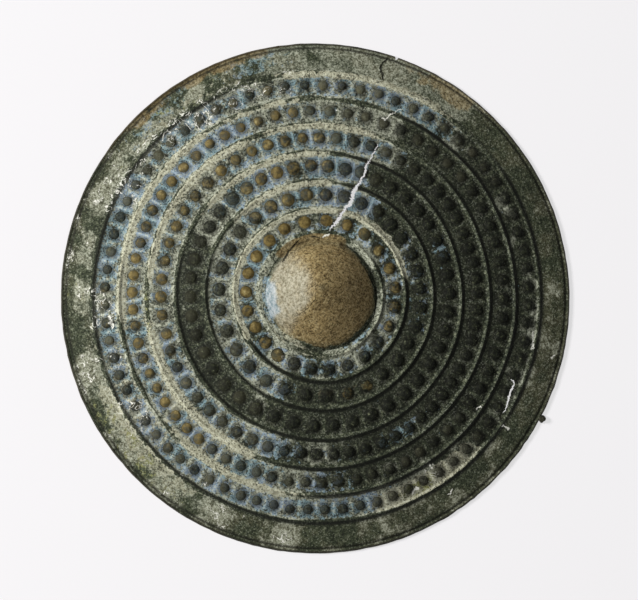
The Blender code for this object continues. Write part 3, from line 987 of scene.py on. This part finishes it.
def around(degrees, first, last):
    """How far each angle is inside an arc, from 0 outside to 1 inside, with soft ends."""
    half = (last - first) / 2.0
    if half >= 180.0:
        return 1.0
    off = np.abs((degrees - first - half + 180.0) % 360.0 - 180.0)
    return np.clip((half - off) / SOFT_DEGREES + 0.5, 0.0, 1.0)


def lee_dirt_and_shade(plan, radius, degrees):
    """Dirt and painted shade in the lee of each rib, on the flank that faces away from the light at the
    left.
    """
    downwind = plan @ polar(1.0, LEE_TURN)
    lee = np.clip(2.0 * downwind / np.maximum(radius, 0.001), -1.0, 1.0)
    strongest = np.zeros(len(radius))
    for rib, first, last, strength in LEE_DIRT_AND_SHADE_ARCS:
        across = bell(radius - RIB_RADII[rib] - 0.0016 * lee, 0.0019)
        strongest = np.maximum(strongest, strength * around(degrees, first, last) * across)
    return strongest, lee


def patched(patches, band, degrees):
    """How strongly each point lies in any of the patches, with soft borders."""
    strongest = np.zeros(len(band))
    for first_band, last_band, first, last, strength in patches:
        inner = np.clip((band - first_band) / SOFT_BAND + 0.5, 0.0, 1.0)
        outer = np.clip((last_band - band) / SOFT_BAND + 0.5, 0.0, 1.0)
        strongest = np.maximum(strongest, strength * inner * outer * around(degrees, first, last))
    return strongest


print("at the end of an arc the share is", around(np.array([90.0]), 0.0, 90.0)[0])

# %% Write the attributes
def note(obj, name, values):
    layer = obj.data.attributes.new(name, "FLOAT", "POINT")
    layer.data.foreach_set("value", np.clip(values, 0.0, 1.0).astype(np.float32))


BACK_DEPTH = 0.0004
BACK_SOFT = 0.0006
HEM_BACK_HEIGHT = 0.0022
HEM_BACK_SOFT = 0.001
points = positions(sheet)
plan = plan_of(points)
radius = plan_radius(plan)
degrees = plan_degrees(plan)
band = np.interp(radius, BAND_RADII, BAND_NUMBERS)
depth = face_height(plan) - points[:, 2]
behind = np.clip((depth - BACK_DEPTH) / BACK_SOFT, 0.0, 1.0)
under_hem = np.clip((HEM_BACK_HEIGHT - points[:, 2]) / HEM_BACK_SOFT, 0.0, 1.0)
hidden = np.where(radius > HEM_INSIDE, under_hem, behind)

on_stud = np.zeros(len(points))
at_foot = np.zeros(len(points))
ochre_share = np.zeros(len(points))
stud_tone = np.zeros(len(points))
for ring, stud_radius, stud_turn, size, rise, tone in studs:
    gap = stud_gap(plan, stud_radius, stud_turn, size)
    near = gap < 1.35
    place = np.array([ring + 0.5]), np.array([math.degrees(stud_turn) % 360.0])
    warm = patched(OCHRE_STUDS, *place)[0]
    pale = patched(PALE_STUDS, *place)[0]
    on_stud[near] = np.maximum(on_stud[near], np.clip((STUD_FOOT - gap[near]) / 0.14, 0.0, 1.0))
    at_foot[near] = np.maximum(at_foot[near], bell(gap[near] - STUD_FOOT, 0.16) * (rise > 0.0))
    ochre_share[near] = warm * (0.70 + 0.30 * tone)
    stud_tone[near] = tone * pale
print("points on studs", int((on_stud > 0.5).sum()), "hidden", int((hidden > 0.5).sum()))

# %% Dirt and painted shade, the pale side of the boss with its painted highlight, and the layers
CRACK_DARK_FROM = 0.0002
CRACK_DARK_TO = 0.0012
RIM_CRACKS_FROM = 0.178
# arcs of the boss foot, in the columns of the patches, that get no dirt and painted shade: most of the side
# towards the lamp and part of the top
OPEN_FOOT = ((-1.0, 1.0, 150, 236, 1.0), (-1.0, 1.0, 66, 104, 0.6))
LAYERS = {
    "ground": GROUND,
    "blue": BLUE,
    "dark": DARK,
    "brown": BROWN,
    "rootlets": ROOTLETS,
    "lime": LIME,
}
# The feet of the ribs and studs, the groove inside the lip, the crevice round the boss foot and the cracks
# are darkened: partly dirt, partly painted shade in these hollows.
rib_foot = sum(bell((radius - rib) - RIB_WIDTH * 0.55, 0.0007) for rib in RIB_RADII)
rib_foot += sum(bell((radius - rib) + RIB_WIDTH * 0.55, 0.0007) for rib in RIB_RADII)
# dark lines of dirt and painted shade on the flank of each rib that faces away from the lamp
lee_darkening, lee = lee_dirt_and_shade(plan, radius, degrees)
lit_band = band - 0.06 * lee
# the bottoms of the cracks take dirt and painted shade, so that they read dark
in_crack = (depth > CRACK_DARK_FROM) & (depth < CRACK_DARK_TO) & (points[:, 2] > 0.003)
hidden[in_crack & ((radius > RIM_CRACKS_FROM) | (radius < RIB_RADII[0]))] = 0.0
# painted shade in the groove just inside the lip, where the raised lip shades the band
groove_shade = bell(radius - GROOVE_START - 0.3 * GROOVE_WIDTH, 0.0010)
# dirt and painted shade in the crevice round the boss foot
boss_foot_dirt_and_shade = bell(radius - BOSS_RADIUS - 0.0006, 0.0011) * (1.0 - patched(OPEN_FOOT, band, degrees))
dirt_and_shade = 0.9 * at_foot + 0.15 * rib_foot + 1.1 * groove_shade + 0.6 * boss_foot_dirt_and_shade + in_crack

crescent = smooth_step((radius - 0.0320) / 0.0070) * smooth_step((0.0445 - radius) / 0.0020)
crescent *= smooth_step((degrees - 158.0) / 14.0) * smooth_step((212.0 - degrees) / 12.0)
# the cream side of the boss faces the lamp at the left: its pale colour is partly crust, partly a painted
# highlight
past_top = smooth_step((degrees - 100.0) / 48.0)
before_fold = smooth_step((math.degrees(BOSS_FOLD_TURN) + 10.0 - degrees) / 34.0)
from_foot = smooth_step((BOSS_RADIUS + 0.0010 - radius) / 0.003)
cream_and_lit_side = past_top * before_fold * smooth_step(radius / 0.018) * from_foot

for name, patches in LAYERS.items():
    note(sheet, name, patched(patches, band, degrees))
note(sheet, "crust", patched(CRUST, lit_band, degrees))
note(sheet, "hidden", hidden)
note(sheet, "stud", on_stud)
note(sheet, "stud_tone", stud_tone)
note(sheet, "ochre", ochre_share * on_stud)
note(sheet, "line", lee_darkening)
note(sheet, "dirt_and_shade", dirt_and_shade)
note(sheet, "crescent", crescent)
note(sheet, "cream_and_highlight", cream_and_lit_side)
note(sheet, "rim", smooth_step((band - 6.05) / 0.12))
note(sheet, "lip", np.clip((radius - LIP_START) / 0.0006, 0.0, 1.0))
print("attributes", len(sheet.data.attributes), "dirty points", int((dirt_and_shade > 0.5).sum()))

# %% [markdown]
# ## Smooth faces, sharp tears
#
# Smooth shading hides the small faces, and its limit of angle keeps the torn edges crisp. The lines after it
# say that this piece moves with the shield and hide the solid that it stands for.

# %% Smooth shading with sharp torn edges
only(sheet)
bpy.ops.object.shade_smooth_by_angle(angle=math.radians(50.0))
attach(sheet, "root")
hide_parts("shield_sheet")
print("triangles", sum(len(face.vertices) - 2 for face in sheet.data.polygons))

# %% [markdown]
# ## The hand grip
#
# Behind the boss a bronze strap crosses the hollow, and the fist closes round it. It is flat at both ends,
# where it is riveted under the sheet, and its middle drops away from the sheet and is arched for the
# fingers. A smith forges it from a bar. Here it starts as a flat plane with enough cross cuts, is bent by
# the same kind of height rule as the sheet and gets its thickness from Solidify and soft edges from Bevel.

# %% Model the grip
GRIP_WIDTH = 0.022
TANG_WIDTH = 0.016
GRIP_WALL = 0.0025
GRIP_DROP = 0.009
GRIP_ARCH = 0.003
GRIP_BEND = 0.018
GRIP_BEVEL = 0.0007
FIT_GAP = 0.0004
GRIP_HALF = RIVET_RADIUS + TANG_WIDTH / 2
TANG_FROM = RIVET_RADIUS - TANG_WIDTH / 2
turn_to_grip = Matrix.Rotation(math.radians(GRIP_ANGLE), 3, "Z")
bpy.ops.object.select_all(action="DESELECT")
bpy.ops.mesh.primitive_grid_add(x_subdivisions=96, y_subdivisions=14, size=2.0)
grip = bpy.context.object
grip.name = grip.data.name = "strap_grip"
points = positions(grip)
along = points[:, 0] * GRIP_HALF
past = np.abs(along) - RIVET_RADIUS
widening = smooth_step(-past / RIVET_RADIUS)
half_width = TANG_WIDTH / 2 + (GRIP_WIDTH - TANG_WIDTH) / 2 * widening
round_end = np.sqrt(np.clip((TANG_WIDTH / 2) ** 2 - np.clip(past, 0.0, None) ** 2, 0.0, None))
half_width = np.where(past > 0.0, np.maximum(round_end, 0.0008), half_width)
sunk = smooth_step((TANG_FROM - np.abs(along)) / GRIP_BEND)
tang_top = dome_height(RIVET_RADIUS) - WALL / math.cos(RIVET_LEAN) - FIT_GAP
top = tang_top - math.tan(RIVET_LEAN) * past * (1.0 - sunk) - GRIP_DROP * sunk
share = points[:, 1].copy()
bent = np.column_stack([along, share * half_width, top - GRIP_ARCH * sunk * share**2])
bent[:, 2] += 0.00025 * uneven(bent, 0.009, 51.0) * sunk
place_points(grip, bent @ np.array(turn_to_grip).T)
print("grip spans", [round(v, 4) for v in np.ptp(positions(grip), axis=0)])

# %% Give the grip its thickness, soft edges and holes
only(grip)
solidify = grip.modifiers.new("wall", "SOLIDIFY")
solidify.thickness = GRIP_WALL
solidify.offset = -1.0
bpy.ops.object.modifier_apply(modifier=solidify.name)
bevel = grip.modifiers.new("soft edges", "BEVEL")
bevel.width = GRIP_BEVEL
bevel.segments = 3
bevel.angle_limit = math.radians(50.0)
bpy.ops.object.modifier_apply(modifier=bevel.name)
for angle in rivet_angles:
    boolean(grip, drill(RIVET_RADIUS, angle, RIVET_HOLE, RIVET_LEAN), "DIFFERENCE")
only(grip)
bpy.ops.object.shade_smooth_by_angle(angle=math.radians(40.0))
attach(grip, "root")
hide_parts("hand_grip")
print("grip", len(grip.data.polygons), "faces")

# %% [markdown]
# ## The two rivets
#
# Each rivet is a pin with a round head that matches the studs, pushed through the sheet and the strap and
# hammered over behind. It is a turned form, so its outline is drawn once from the top of the head to the
# tail and spun round the axis. Then it is set square to the slope of the sheet.

# %% Spin a rivet and set two copies
HEAD_HALF = STUD_RINGS[0][1] / 2
HEAD_HEIGHT = 0.0022
SHANK_HALF = 0.0020
TAIL_HALF = 0.0035
TAIL_HEIGHT = 0.0014
RIVET_STEPS = 24
strap_end = -(WALL + FIT_GAP + GRIP_WALL + FIT_GAP)
rivet_outline = []
for share in (0.0, 0.2, 0.4, 0.6, 0.8, 0.93, 1.0):
    rivet_outline.append((HEAD_HALF * share, FIT_GAP + HEAD_HEIGHT * (1.0 - 0.92 * share**2.5)))
rivet_outline += [(HEAD_HALF, FIT_GAP), (SHANK_HALF, FIT_GAP)]
rivet_outline += [(SHANK_HALF, strap_end), (TAIL_HALF, strap_end)]
for share in (0.97, 0.8, 0.5, 0.0):
    rivet_outline.append((TAIL_HALF * share, strap_end - TAIL_HEIGHT * (1.0 - 0.8 * share**3)))


def spin_rivet(name, angle):
    corners = [(reach, 0.0, height) for reach, height in rivet_outline]
    rivet = new_object(name, corners, [(k, k + 1) for k in range(len(corners) - 1)], [])
    edit_all(rivet)
    bpy.ops.mesh.spin(steps=RIVET_STEPS, angle=FULL_TURN, center=(0, 0, 0), axis=(0, 0, 1))
    bpy.ops.mesh.select_all(action="SELECT")
    bpy.ops.mesh.remove_doubles(threshold=MERGE_GAP)
    face_outwards()
    leave_edit()
    rivet.location = (*polar(RIVET_RADIUS, angle), dome_height(RIVET_RADIUS))
    rivet.rotation_euler = (0.0, RIVET_LEAN, angle)
    bpy.ops.object.transform_apply(location=True, rotation=True, scale=True)
    bpy.ops.object.shade_smooth_by_angle(angle=math.radians(45.0))
    return rivet


rivets = []
for letter, angle in zip("ab", rivet_angles):
    rivet = spin_rivet("strap_rivet_" + letter, angle)
    reach = positions(rivet)
    above = reach[:, 2] > dome_height(RIVET_RADIUS)
    note(rivet, "stud", above * 1.0)
    note(rivet, "stud_tone", above * 0.6)
    note(rivet, "ochre", above * 0.55)
    note(rivet, "hidden", ~above * 1.0)
    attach(rivet, "root")
    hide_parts("grip_rivet_" + letter)
    rivets.append(rivet)
note(grip, "hidden", np.ones(len(grip.data.vertices)))
print("rivets", [len(rivet.data.polygons) for rivet in rivets])

# %% [markdown]
# ## The patina
#
# Bronze from the ground is a patchwork: dark green-black metal salts, blue and grey crusts in the hollows,
# pale lime on the ridges and brown on the studs. The material lays these over each other like glazes. Each
# layer has its own mottled colour, and each shows where its attribute, roughened by noise, passes a limit.
# The noise comes in several sizes, because a crust has patches, blotches and grains at the same time.

# %% Small helpers for nodes
def put(material, kind, inputs, output=0, **settings):
    """Adds one node, sets or links its inputs and returns one of its outputs."""
    tree = material.node_tree
    node = tree.nodes.new(kind)
    for name, value in settings.items():
        setattr(node, name, value)
    for socket, value in inputs.items():
        if isinstance(value, bpy.types.NodeSocket):
            tree.links.new(value, node.inputs[socket])
        else:
            node.inputs[socket].default_value = value
    return node.outputs[output]


def colour(red, green, blue):
    """A colour given as it looks on a screen, from 0 to 255, turned into light."""
    parts = [part / 255.0 for part in (red, green, blue)]
    return (*[part / 12.92 if part <= 0.04045 else ((part + 0.055) / 1.055) ** 2.4 for part in parts], 1.0)


def mottle(material, place, size, seed, detail=3.0, rough=0.6):
    """Noise with lumps of about this size in metres."""
    inputs = {"Vector": place, "W": seed, "Scale": 1.0 / size, "Detail": detail, "Roughness": rough}
    return put(material, "ShaderNodeTexNoise", inputs, noise_dimensions="4D")


def attribute(material, name):
    return put(material, "ShaderNodeAttribute", {}, output=2, attribute_name=name)


def calc(material, operation, *values, clamp=False):
    inputs = dict(enumerate(values))
    return put(material, "ShaderNodeMath", inputs, operation=operation, use_clamp=clamp)


def between(material, value, low, high):
    """0 below the low limit, 1 above the high one, and smooth between them."""
    inputs = {0: value, 1: low, 2: high, 3: 0.0, 4: 1.0}
    return put(material, "ShaderNodeMapRange", inputs, interpolation_type="SMOOTHSTEP")


def mixed(material, share, under, over):
    inputs = {0: share, 6: under, 7: over}
    return put(material, "ShaderNodeMix", inputs, output=2, data_type="RGBA")


def fade(material, value, low, high, under, over):
    """Goes from one colour to the other while the value goes from the low limit to the high one."""
    return mixed(material, between(material, value, low, high), under, over)


def glaze(material, share, strength, under, over):
    """Lays a colour over another where the share says, at this strength."""
    return mixed(material, calc(material, "MULTIPLY", share, strength), under, over)


def shades(material, value, stops):
    """A colour ramp from stops of place, red, green and blue."""
    output = put(material, "ShaderNodeValToRGB", {0: value})
    ramp = output.node.color_ramp
    while len(ramp.elements) < len(stops):
        ramp.elements.new(0.5)
    for element, (place, *light) in zip(ramp.elements, stops):
        element.position = place
        element.color = colour(*light)
    return output


def veil(material, name, roughness, reach=3.0):
    """Where a layer shows: the attribute gives the share, the noise its ragged outline."""
    shift = calc(material, "MULTIPLY_ADD", roughness, reach, -0.5 * reach - 0.08)
    share = calc(material, "MULTIPLY_ADD", attribute(material, name), 1.08, shift)
    return between(material, share, 0.42, 0.58)


print("a mid grey is", round(colour(128, 128, 128)[0], 3))

# %% Pale streaks, where a root or a scratch has crossed the face
# start, end and half width in metres, seen from above
STREAKS = (
    ((0.1690, -0.0262), (0.1680, -0.0400), 0.0006),
    ((0.1846, -0.0468), (0.1868, -0.0440), 0.0006),
    ((0.1240, -0.0880), (0.1270, -0.0856), 0.0006),
    ((0.1455, -0.1000), (0.1500, -0.1030), 0.0007),
    ((0.1030, -0.1540), (0.1060, -0.1500), 0.0006),
    ((0.0740, -0.1530), (0.0780, -0.1490), 0.0010),
    ((0.0503, 0.1384), (0.0566, 0.1432), 0.0004),
    ((0.0566, 0.1432), (0.0652, 0.1462), 0.0004),
    ((0.0010, 0.0452), (0.0060, 0.0470), 0.0006),
    ((-0.1630, -0.0160), (-0.1600, -0.0250), 0.0008),
)


def streak(material, place, noise_value, start, end, half_width):
    """A thin crooked stroke from start to end."""
    parts = put(material, "ShaderNodeSeparateXYZ", {0: place}).node.outputs
    length = math.dist(start, end)
    ahead = ((end[0] - start[0]) / length, (end[1] - start[1]) / length)
    east = calc(material, "SUBTRACT", parts[0], start[0])
    north = calc(material, "SUBTRACT", parts[1], start[1])
    along = calc(material, "MULTIPLY_ADD", east, ahead[0], calc(material, "MULTIPLY", north, ahead[1]))
    aside = calc(material, "MULTIPLY_ADD", north, ahead[0], calc(material, "MULTIPLY", east, -ahead[1]))
    crooked = calc(material, "MULTIPLY_ADD", noise_value, 0.012, calc(material, "SUBTRACT", aside, 0.006))
    past_middle = calc(material, "ABSOLUTE", calc(material, "SUBTRACT", along, length / 2))
    past_end = calc(material, "MAXIMUM", calc(material, "SUBTRACT", past_middle, length / 2), 0.0)
    off = calc(material, "ADD", calc(material, "ABSOLUTE", crooked), past_end)
    return between(material, off, 1.5 * half_width, 0.7 * half_width)


print("longest streak", round(max(math.dist(start, end) for start, end, _ in STREAKS), 4))

# %% [markdown]
# ## Layer over layer
#
# Now the layers are laid, from the metal outwards. First come the sizes of noise and the mottled colour of
# each layer. Then five functions paint in turn the sheet, the boss, the studs with their dirt and painted
# shade, the white threads that roots have left and the plain back. Each hands its colour on, and the next
# paints over it.

# %% The noises and the mottled colours
# name, size of the lumps in metres, seed, detail and roughness
NOISES = (
    ("grain", 0.0012, 1.0, 1.0, 0.60),
    ("tooth", 0.0021, 2.0, 4.0, 0.74),
    ("blotch", 0.0060, 3.0, 4.0, 0.68),
    ("patch", 0.0064, 4.0, 6.0, 0.74),
    ("cloud", 0.0200, 5.0, 4.0, 0.60),
    ("drift", 0.0550, 6.0, 2.0, 0.60),
)
# the noise that a layer's colour follows, and its stops of place, red, green and blue
MOTTLED = {
    "base": ("tooth", (0.36, 25, 30, 22), (0.47, 54, 61, 46), (0.56, 85, 91, 71),
             (0.64, 132, 137, 112), (0.74, 200, 205, 181)),
    "dark": ("tooth", (0.36, 20, 25, 18), (0.48, 40, 46, 34), (0.59, 64, 69, 53), (0.70, 122, 128, 104)),
    "ground": ("tooth", (0.34, 46, 49, 40), (0.43, 104, 108, 92), (0.52, 161, 165, 145),
               (0.63, 218, 223, 203)),
    "crust": ("tooth", (0.32, 82, 82, 66), (0.41, 154, 152, 129), (0.51, 196, 196, 170),
              (0.64, 231, 232, 210)),
    "brown": ("tooth", (0.31, 60, 48, 26), (0.39, 114, 96, 62), (0.49, 156, 136, 92), (0.68, 198, 180, 134)),
    "ochre": ("blotch", (0.34, 54, 47, 25), (0.46, 106, 90, 48), (0.58, 142, 124, 72),
              (0.72, 200, 186, 134)),
    "stud": ("tooth", (0.38, 9, 12, 7), (0.52, 21, 24, 15), (0.62, 49, 54, 36), (0.72, 134, 138, 108)),
}
BACK_STOPS = ((0.38, 52, 50, 41), (0.50, 84, 78, 60), (0.58, 112, 106, 84), (0.68, 132, 142, 124))


def all_lumps(material, place):
    """One noise of each size."""
    return {name: mottle(material, place, *settings) for name, *settings in NOISES}


def layer_tones(material, lumps):
    """One mottled colour for each layer. The blue one has dark pits and pale grains."""
    tones = {name: shades(material, lumps[source], stops) for name, (source, *stops) in MOTTLED.items()}
    blue = fade(material, lumps["cloud"], 0.42, 0.58, colour(146, 176, 184), colour(160, 181, 200))
    blue = fade(material, lumps["tooth"], 0.43, 0.33, blue, colour(66, 76, 78))
    tones["blue"] = fade(material, lumps["tooth"], 0.53, 0.64, blue, colour(209, 216, 202))
    return tones


print("noises", len(NOISES), "mottled colours", len(MOTTLED) + 1)

# %% The layers of the whole sheet
def paint_sheet(material, lumps, tones):
    """Metal salts, ground, blue, crust and lime, the worn rim, and flecks on top."""
    ground = veil(material, "ground", lumps["cloud"], 2.0)
    tone = mixed(material, veil(material, "dark", lumps["patch"]), tones["base"], tones["dark"])
    tone = mixed(material, ground, tone, tones["ground"])
    tone = mixed(material, veil(material, "blue", lumps["patch"]), tone, tones["blue"])
    tone = mixed(material, veil(material, "crust", lumps["blotch"], 2.0), tone, tones["crust"])
    tone = mixed(material, veil(material, "lime", lumps["patch"], 2.2), tone, colour(166, 168, 112))
    rim = attribute(material, "rim")
    rim_tone = fade(material, lumps["cloud"], 0.40, 0.60, colour(72, 80, 58), colour(102, 98, 72))
    tone = glaze(material, rim, 0.42, tone, rim_tone)

    pale_rim = calc(material, "MULTIPLY", rim, ground)
    from_mean = calc(material, "SUBTRACT", lumps["cloud"], 0.5)
    crowd = calc(material, "MULTIPLY_ADD", from_mean, 0.35, lumps["grain"])
    light_amount = calc(material, "MULTIPLY_ADD", ground, 0.45, 0.27)
    light_amount = calc(material, "MULTIPLY_ADD", pale_rim, -0.22, light_amount)
    dark_amount = calc(material, "MULTIPLY_ADD", pale_rim, -0.20, 0.78)
    tone = glaze(material, between(material, crowd, 0.57, 0.65), light_amount, tone, colour(209, 214, 194))
    return glaze(material, between(material, crowd, 0.44, 0.36), dark_amount, tone, colour(30, 34, 26))


print("the sheet has", len(LAYERS) + 1, "patched layers")

# %% The boss: brown with pits, a cream side that is partly a painted highlight, and a sky-blue crescent
def paint_boss(material, lumps, tones, tone):
    tooth = lumps["tooth"]
    pits = calc(material, "MULTIPLY", between(material, lumps["grain"], 0.47, 0.38), 0.74)
    brown = mixed(material, pits, tones["brown"], colour(58, 47, 26))
    worn = between(material, lumps["blotch"], 0.52, 0.62)
    brown = glaze(material, worn, 0.34, brown, colour(84, 68, 40))
    brown_place = veil(material, "brown", lumps["cloud"], 1.6)
    tone = glaze(material, brown_place, attribute(material, "brown"), tone, brown)

    # the cream side, partly crust and partly a painted highlight where the boss faces the lamp
    ragged = calc(material, "MULTIPLY", calc(material, "SUBTRACT", lumps["blotch"], 0.5), 1.6)
    cream_highlight_place = attribute(material, "cream_and_highlight")
    cream_highlight_share = calc(material, "ADD", cream_highlight_place, ragged)
    cream_highlight_share = calc(material, "MULTIPLY", cream_highlight_share, cream_highlight_place, clamp=True)
    cream_and_highlight = fade(material, tooth, 0.36, 0.60, colour(132, 127, 104), colour(190, 185, 164))
    cream_and_highlight = glaze(material, pits, 0.6, cream_and_highlight, colour(96, 84, 58))
    tone = mixed(material, cream_highlight_share, tone, cream_and_highlight)

    sky = fade(material, tooth, 0.36, 0.62, colour(120, 146, 156), colour(198, 206, 212))
    sky_share = calc(material, "MULTIPLY_ADD", ragged, 0.8, attribute(material, "crescent"))
    return glaze(material, between(material, sky_share, 0.20, 1.00), 0.85, tone, sky)


print("points on the cream side", int((cream_and_lit_side > 0.5).sum()))

# %% The studs, the dirt and the painted shade
def paint_studs(material, lumps, tones, tone):
    """Dirt and painted shade by the ribs and in the hollows, dark or ochre studs, and dirt along the lip."""
    tooth = lumps["tooth"]
    blotch = lumps["blotch"]
    # the lines of dirt and painted shade on the lee flank of the ribs
    line = calc(material, "ADD", calc(material, "SUBTRACT", tooth, 0.5), attribute(material, "line"))
    tone = glaze(material, between(material, line, 0.10, 0.90), 0.90, tone, colour(20, 22, 17))

    stud = glaze(material, attribute(material, "stud_tone"), 0.62, tones["stud"], colour(110, 108, 84))
    on_it = between(material, calc(material, "ADD", tooth, attribute(material, "stud")), 1.05, 1.35)
    tone = glaze(material, on_it, 0.92, tone, stud)
    ochre = attribute(material, "ochre")
    warm = between(material, calc(material, "MULTIPLY_ADD", blotch, 1.4, ochre), 1.05, 1.45)
    warm = calc(material, "MULTIPLY", warm, calc(material, "MULTIPLY", ochre, 1.15))
    tone = mixed(material, calc(material, "MINIMUM", warm, 0.90), tone, tones["ochre"])

    # dirt and painted shade in the hollows, broken up by noise
    patchy = between(material, blotch, 0.22, 0.45)
    dirt_and_shade_share = calc(material, "MULTIPLY", attribute(material, "dirt_and_shade"), patchy, clamp=True)
    tone = glaze(material, dirt_and_shade_share, 0.85, tone, colour(24, 24, 19))
    darkened = between(material, lumps["cloud"], 0.30, 0.44)
    lip = calc(material, "MULTIPLY", attribute(material, "lip"), darkened)
    lip_tone = mixed(material, attribute(material, "brown"), colour(44, 43, 33), colour(96, 76, 44))
    return glaze(material, lip, 0.84, tone, lip_tone)


print("points on ochre studs", int((ochre_share * on_stud > 0.5).sum()))

# %% White threads and the plain back
THREAD_SCALE = 150.0


def paint_threads(material, place, lumps, tone):
    """Thin winding lines where the noise crosses its mean, and the single streaks."""
    winding = put(material, "ShaderNodeTexNoise", {
        "Vector": place, "W": 7.0, "Scale": THREAD_SCALE, "Detail": 2.0, "Distortion": 1.0,
    }, noise_dimensions="4D")
    off_line = calc(material, "ABSOLUTE", calc(material, "SUBTRACT", winding, 0.5))
    thread = between(material, off_line, 0.026, 0.014)
    thread = calc(material, "MULTIPLY", thread, veil(material, "rootlets", lumps["cloud"], 2.4))
    white = calc(material, "MULTIPLY", thread, between(material, lumps["blotch"], 0.46, 0.54))
    for start, end, width in STREAKS:
        stroke = streak(material, place, lumps["blotch"], start, end, width)
        white = calc(material, "MAXIMUM", white, stroke)
    return mixed(material, white, tone, colour(248, 248, 238))


def paint_back(material, lumps, tone):
    half_cloud = calc(material, "MULTIPLY", lumps["cloud"], 0.5)
    back = shades(material, calc(material, "MULTIPLY_ADD", lumps["blotch"], 0.5, half_cloud), BACK_STOPS)
    back = fade(material, lumps["grain"], 0.58, 0.70, back, colour(150, 144, 122))
    return mixed(material, attribute(material, "hidden"), tone, back)


print("streaks", len(STREAKS))

# %% The patina material
BUMP_DEPTH = 0.0009
BUMP_STRENGTH = 0.8


def patina(name):
    """The whole material: the painted colour, brighter and darker by large drifts, and its small relief."""
    material = bpy.data.materials.new(name)
    material.use_nodes = True
    link = material.node_tree.links.new
    shader = material.node_tree.nodes["Principled BSDF"]
    place = put(material, "ShaderNodeTexCoord", {}, output=3)
    lumps = all_lumps(material, place)
    tones = layer_tones(material, lumps)
    tone = paint_sheet(material, lumps, tones)
    tone = paint_boss(material, lumps, tones, tone)
    tone = paint_studs(material, lumps, tones, tone)
    tone = paint_threads(material, place, lumps, tone)
    tone = paint_back(material, lumps, tone)
    bright = calc(material, "MULTIPLY_ADD", lumps["drift"], 0.6, 0.70)
    final = put(material, "ShaderNodeHueSaturation", {"Value": bright, "Color": tone})
    link(final, shader.inputs["Base Color"])

    height = calc(material, "MULTIPLY", lumps["tooth"], 0.6)
    height = calc(material, "MULTIPLY_ADD", lumps["grain"], 0.25, height)
    height = calc(material, "MULTIPLY_ADD", lumps["blotch"], 0.8, height)
    relief = {"Height": height, "Strength": BUMP_STRENGTH, "Distance": BUMP_DEPTH}
    link(put(material, "ShaderNodeBump", relief), shader.inputs["Normal"])
    link(calc(material, "MULTIPLY_ADD", lumps["tooth"], -0.30, 0.90), shader.inputs["Roughness"])
    shader.inputs["Metallic"].default_value = 0.10
    shader.inputs["Specular IOR Level"].default_value = 0.24
    return material


def dress(obj, material):
    obj.data.materials.clear()
    obj.data.materials.append(material)


dress(sheet, patina("patinated_bronze"))
rivet_finish = patina("rivet_bronze")
for rivet in rivets:
    dress(rivet, rivet_finish)
dress(grip, patina("dull_bronze"))
print("materials", [material.name for material in bpy.data.materials][-3:])

# %% [markdown]
# ## Floor, light and camera
#
# The shield lies on a pale floor under a large soft lamp at the left, with weak light from all round. The
# floor also glows a little, so that its shadow stays light and the tear shows as a pale line. The camera
# looks down from four metres away through a long lens, tipped six degrees towards the lower left.

# %% Floor and light
bpy.ops.object.select_all(action="DESELECT")
bpy.ops.mesh.primitive_plane_add(size=9.0)
floor = bpy.context.object
floor.name = floor.data.name = "floor"
paper = bpy.data.materials.new("pale_paper")
paper.use_nodes = True
paper_shader = paper.node_tree.nodes["Principled BSDF"]
paper_shader.inputs["Base Color"].default_value = (0.34, 0.33, 0.35, 1.0)
paper_shader.inputs["Roughness"].default_value = 0.95
paper_shader.inputs["Specular IOR Level"].default_value = 0.0
paper_shader.inputs["Emission Color"].default_value = (1.0, 0.995, 1.0, 1.0)
paper_shader.inputs["Emission Strength"].default_value = 0.64
dress(floor, paper)


def lamp(name, place, size, power, tint):
    bpy.ops.object.light_add(type="AREA", location=place)
    light = bpy.context.object
    light.name = light.data.name = name
    light.data.shape = "SQUARE"
    light.data.size = size
    light.data.energy = power
    light.data.color = tint
    light.rotation_euler = Vector(place).to_track_quat("Z", "Y").to_euler()
    light.visible_camera = False
    return light


lamp("key_lamp", (-2.52, 0.55, 2.3), 0.9, 118.0, (1.0, 0.985, 0.96))
lamp("fill_lamp", (1.6, -1.8, 2.6), 2.2, 6.0, (1.0, 1.0, 1.0))
world = bpy.data.worlds.new("soft_room")
bpy.context.scene.world = world
world.use_nodes = True
world.node_tree.nodes["Background"].inputs["Color"].default_value = (1.0, 1.0, 1.0, 1.0)
world.node_tree.nodes["Background"].inputs["Strength"].default_value = 0.12
bpy.context.scene.view_settings.view_transform = "Standard"

# %% Camera
PICTURE_WIDTH = 638
PICTURE_HEIGHT = 600
RIM_CENTRE = (316.2, 297.8)
RIM_PIXELS = 255.4
SENSOR = 36.0
DISTANCE = 4.0
TIP = math.radians(6.0)
TIP_TOWARDS = math.radians(211.0)
pixel = RADIUS / RIM_PIXELS
camera_data = bpy.data.cameras.new("camera")
camera_data.sensor_width = SENSOR
camera_data.lens = RIM_PIXELS * (SENSOR / PICTURE_WIDTH) * DISTANCE / RADIUS
camera = bpy.data.objects.new("camera", camera_data)
bpy.context.scene.collection.objects.link(camera)
lean_by = math.sin(TIP)
outwards = Vector((lean_by * math.cos(TIP_TOWARDS), lean_by * math.sin(TIP_TOWARDS), math.cos(TIP)))
right = Vector((0.0, 1.0, 0.0)).cross(outwards).normalized()
upwards = outwards.cross(right)
aim = right * (PICTURE_WIDTH / 2 - RIM_CENTRE[0]) * pixel
aim -= upwards * (PICTURE_HEIGHT / 2 - RIM_CENTRE[1]) * pixel
facing = Matrix((right, upwards, outwards)).transposed().to_4x4()
camera.matrix_world = Matrix.Translation(aim + outwards * DISTANCE) @ facing
bpy.context.scene.camera = camera
print("lens", round(camera_data.lens, 1))
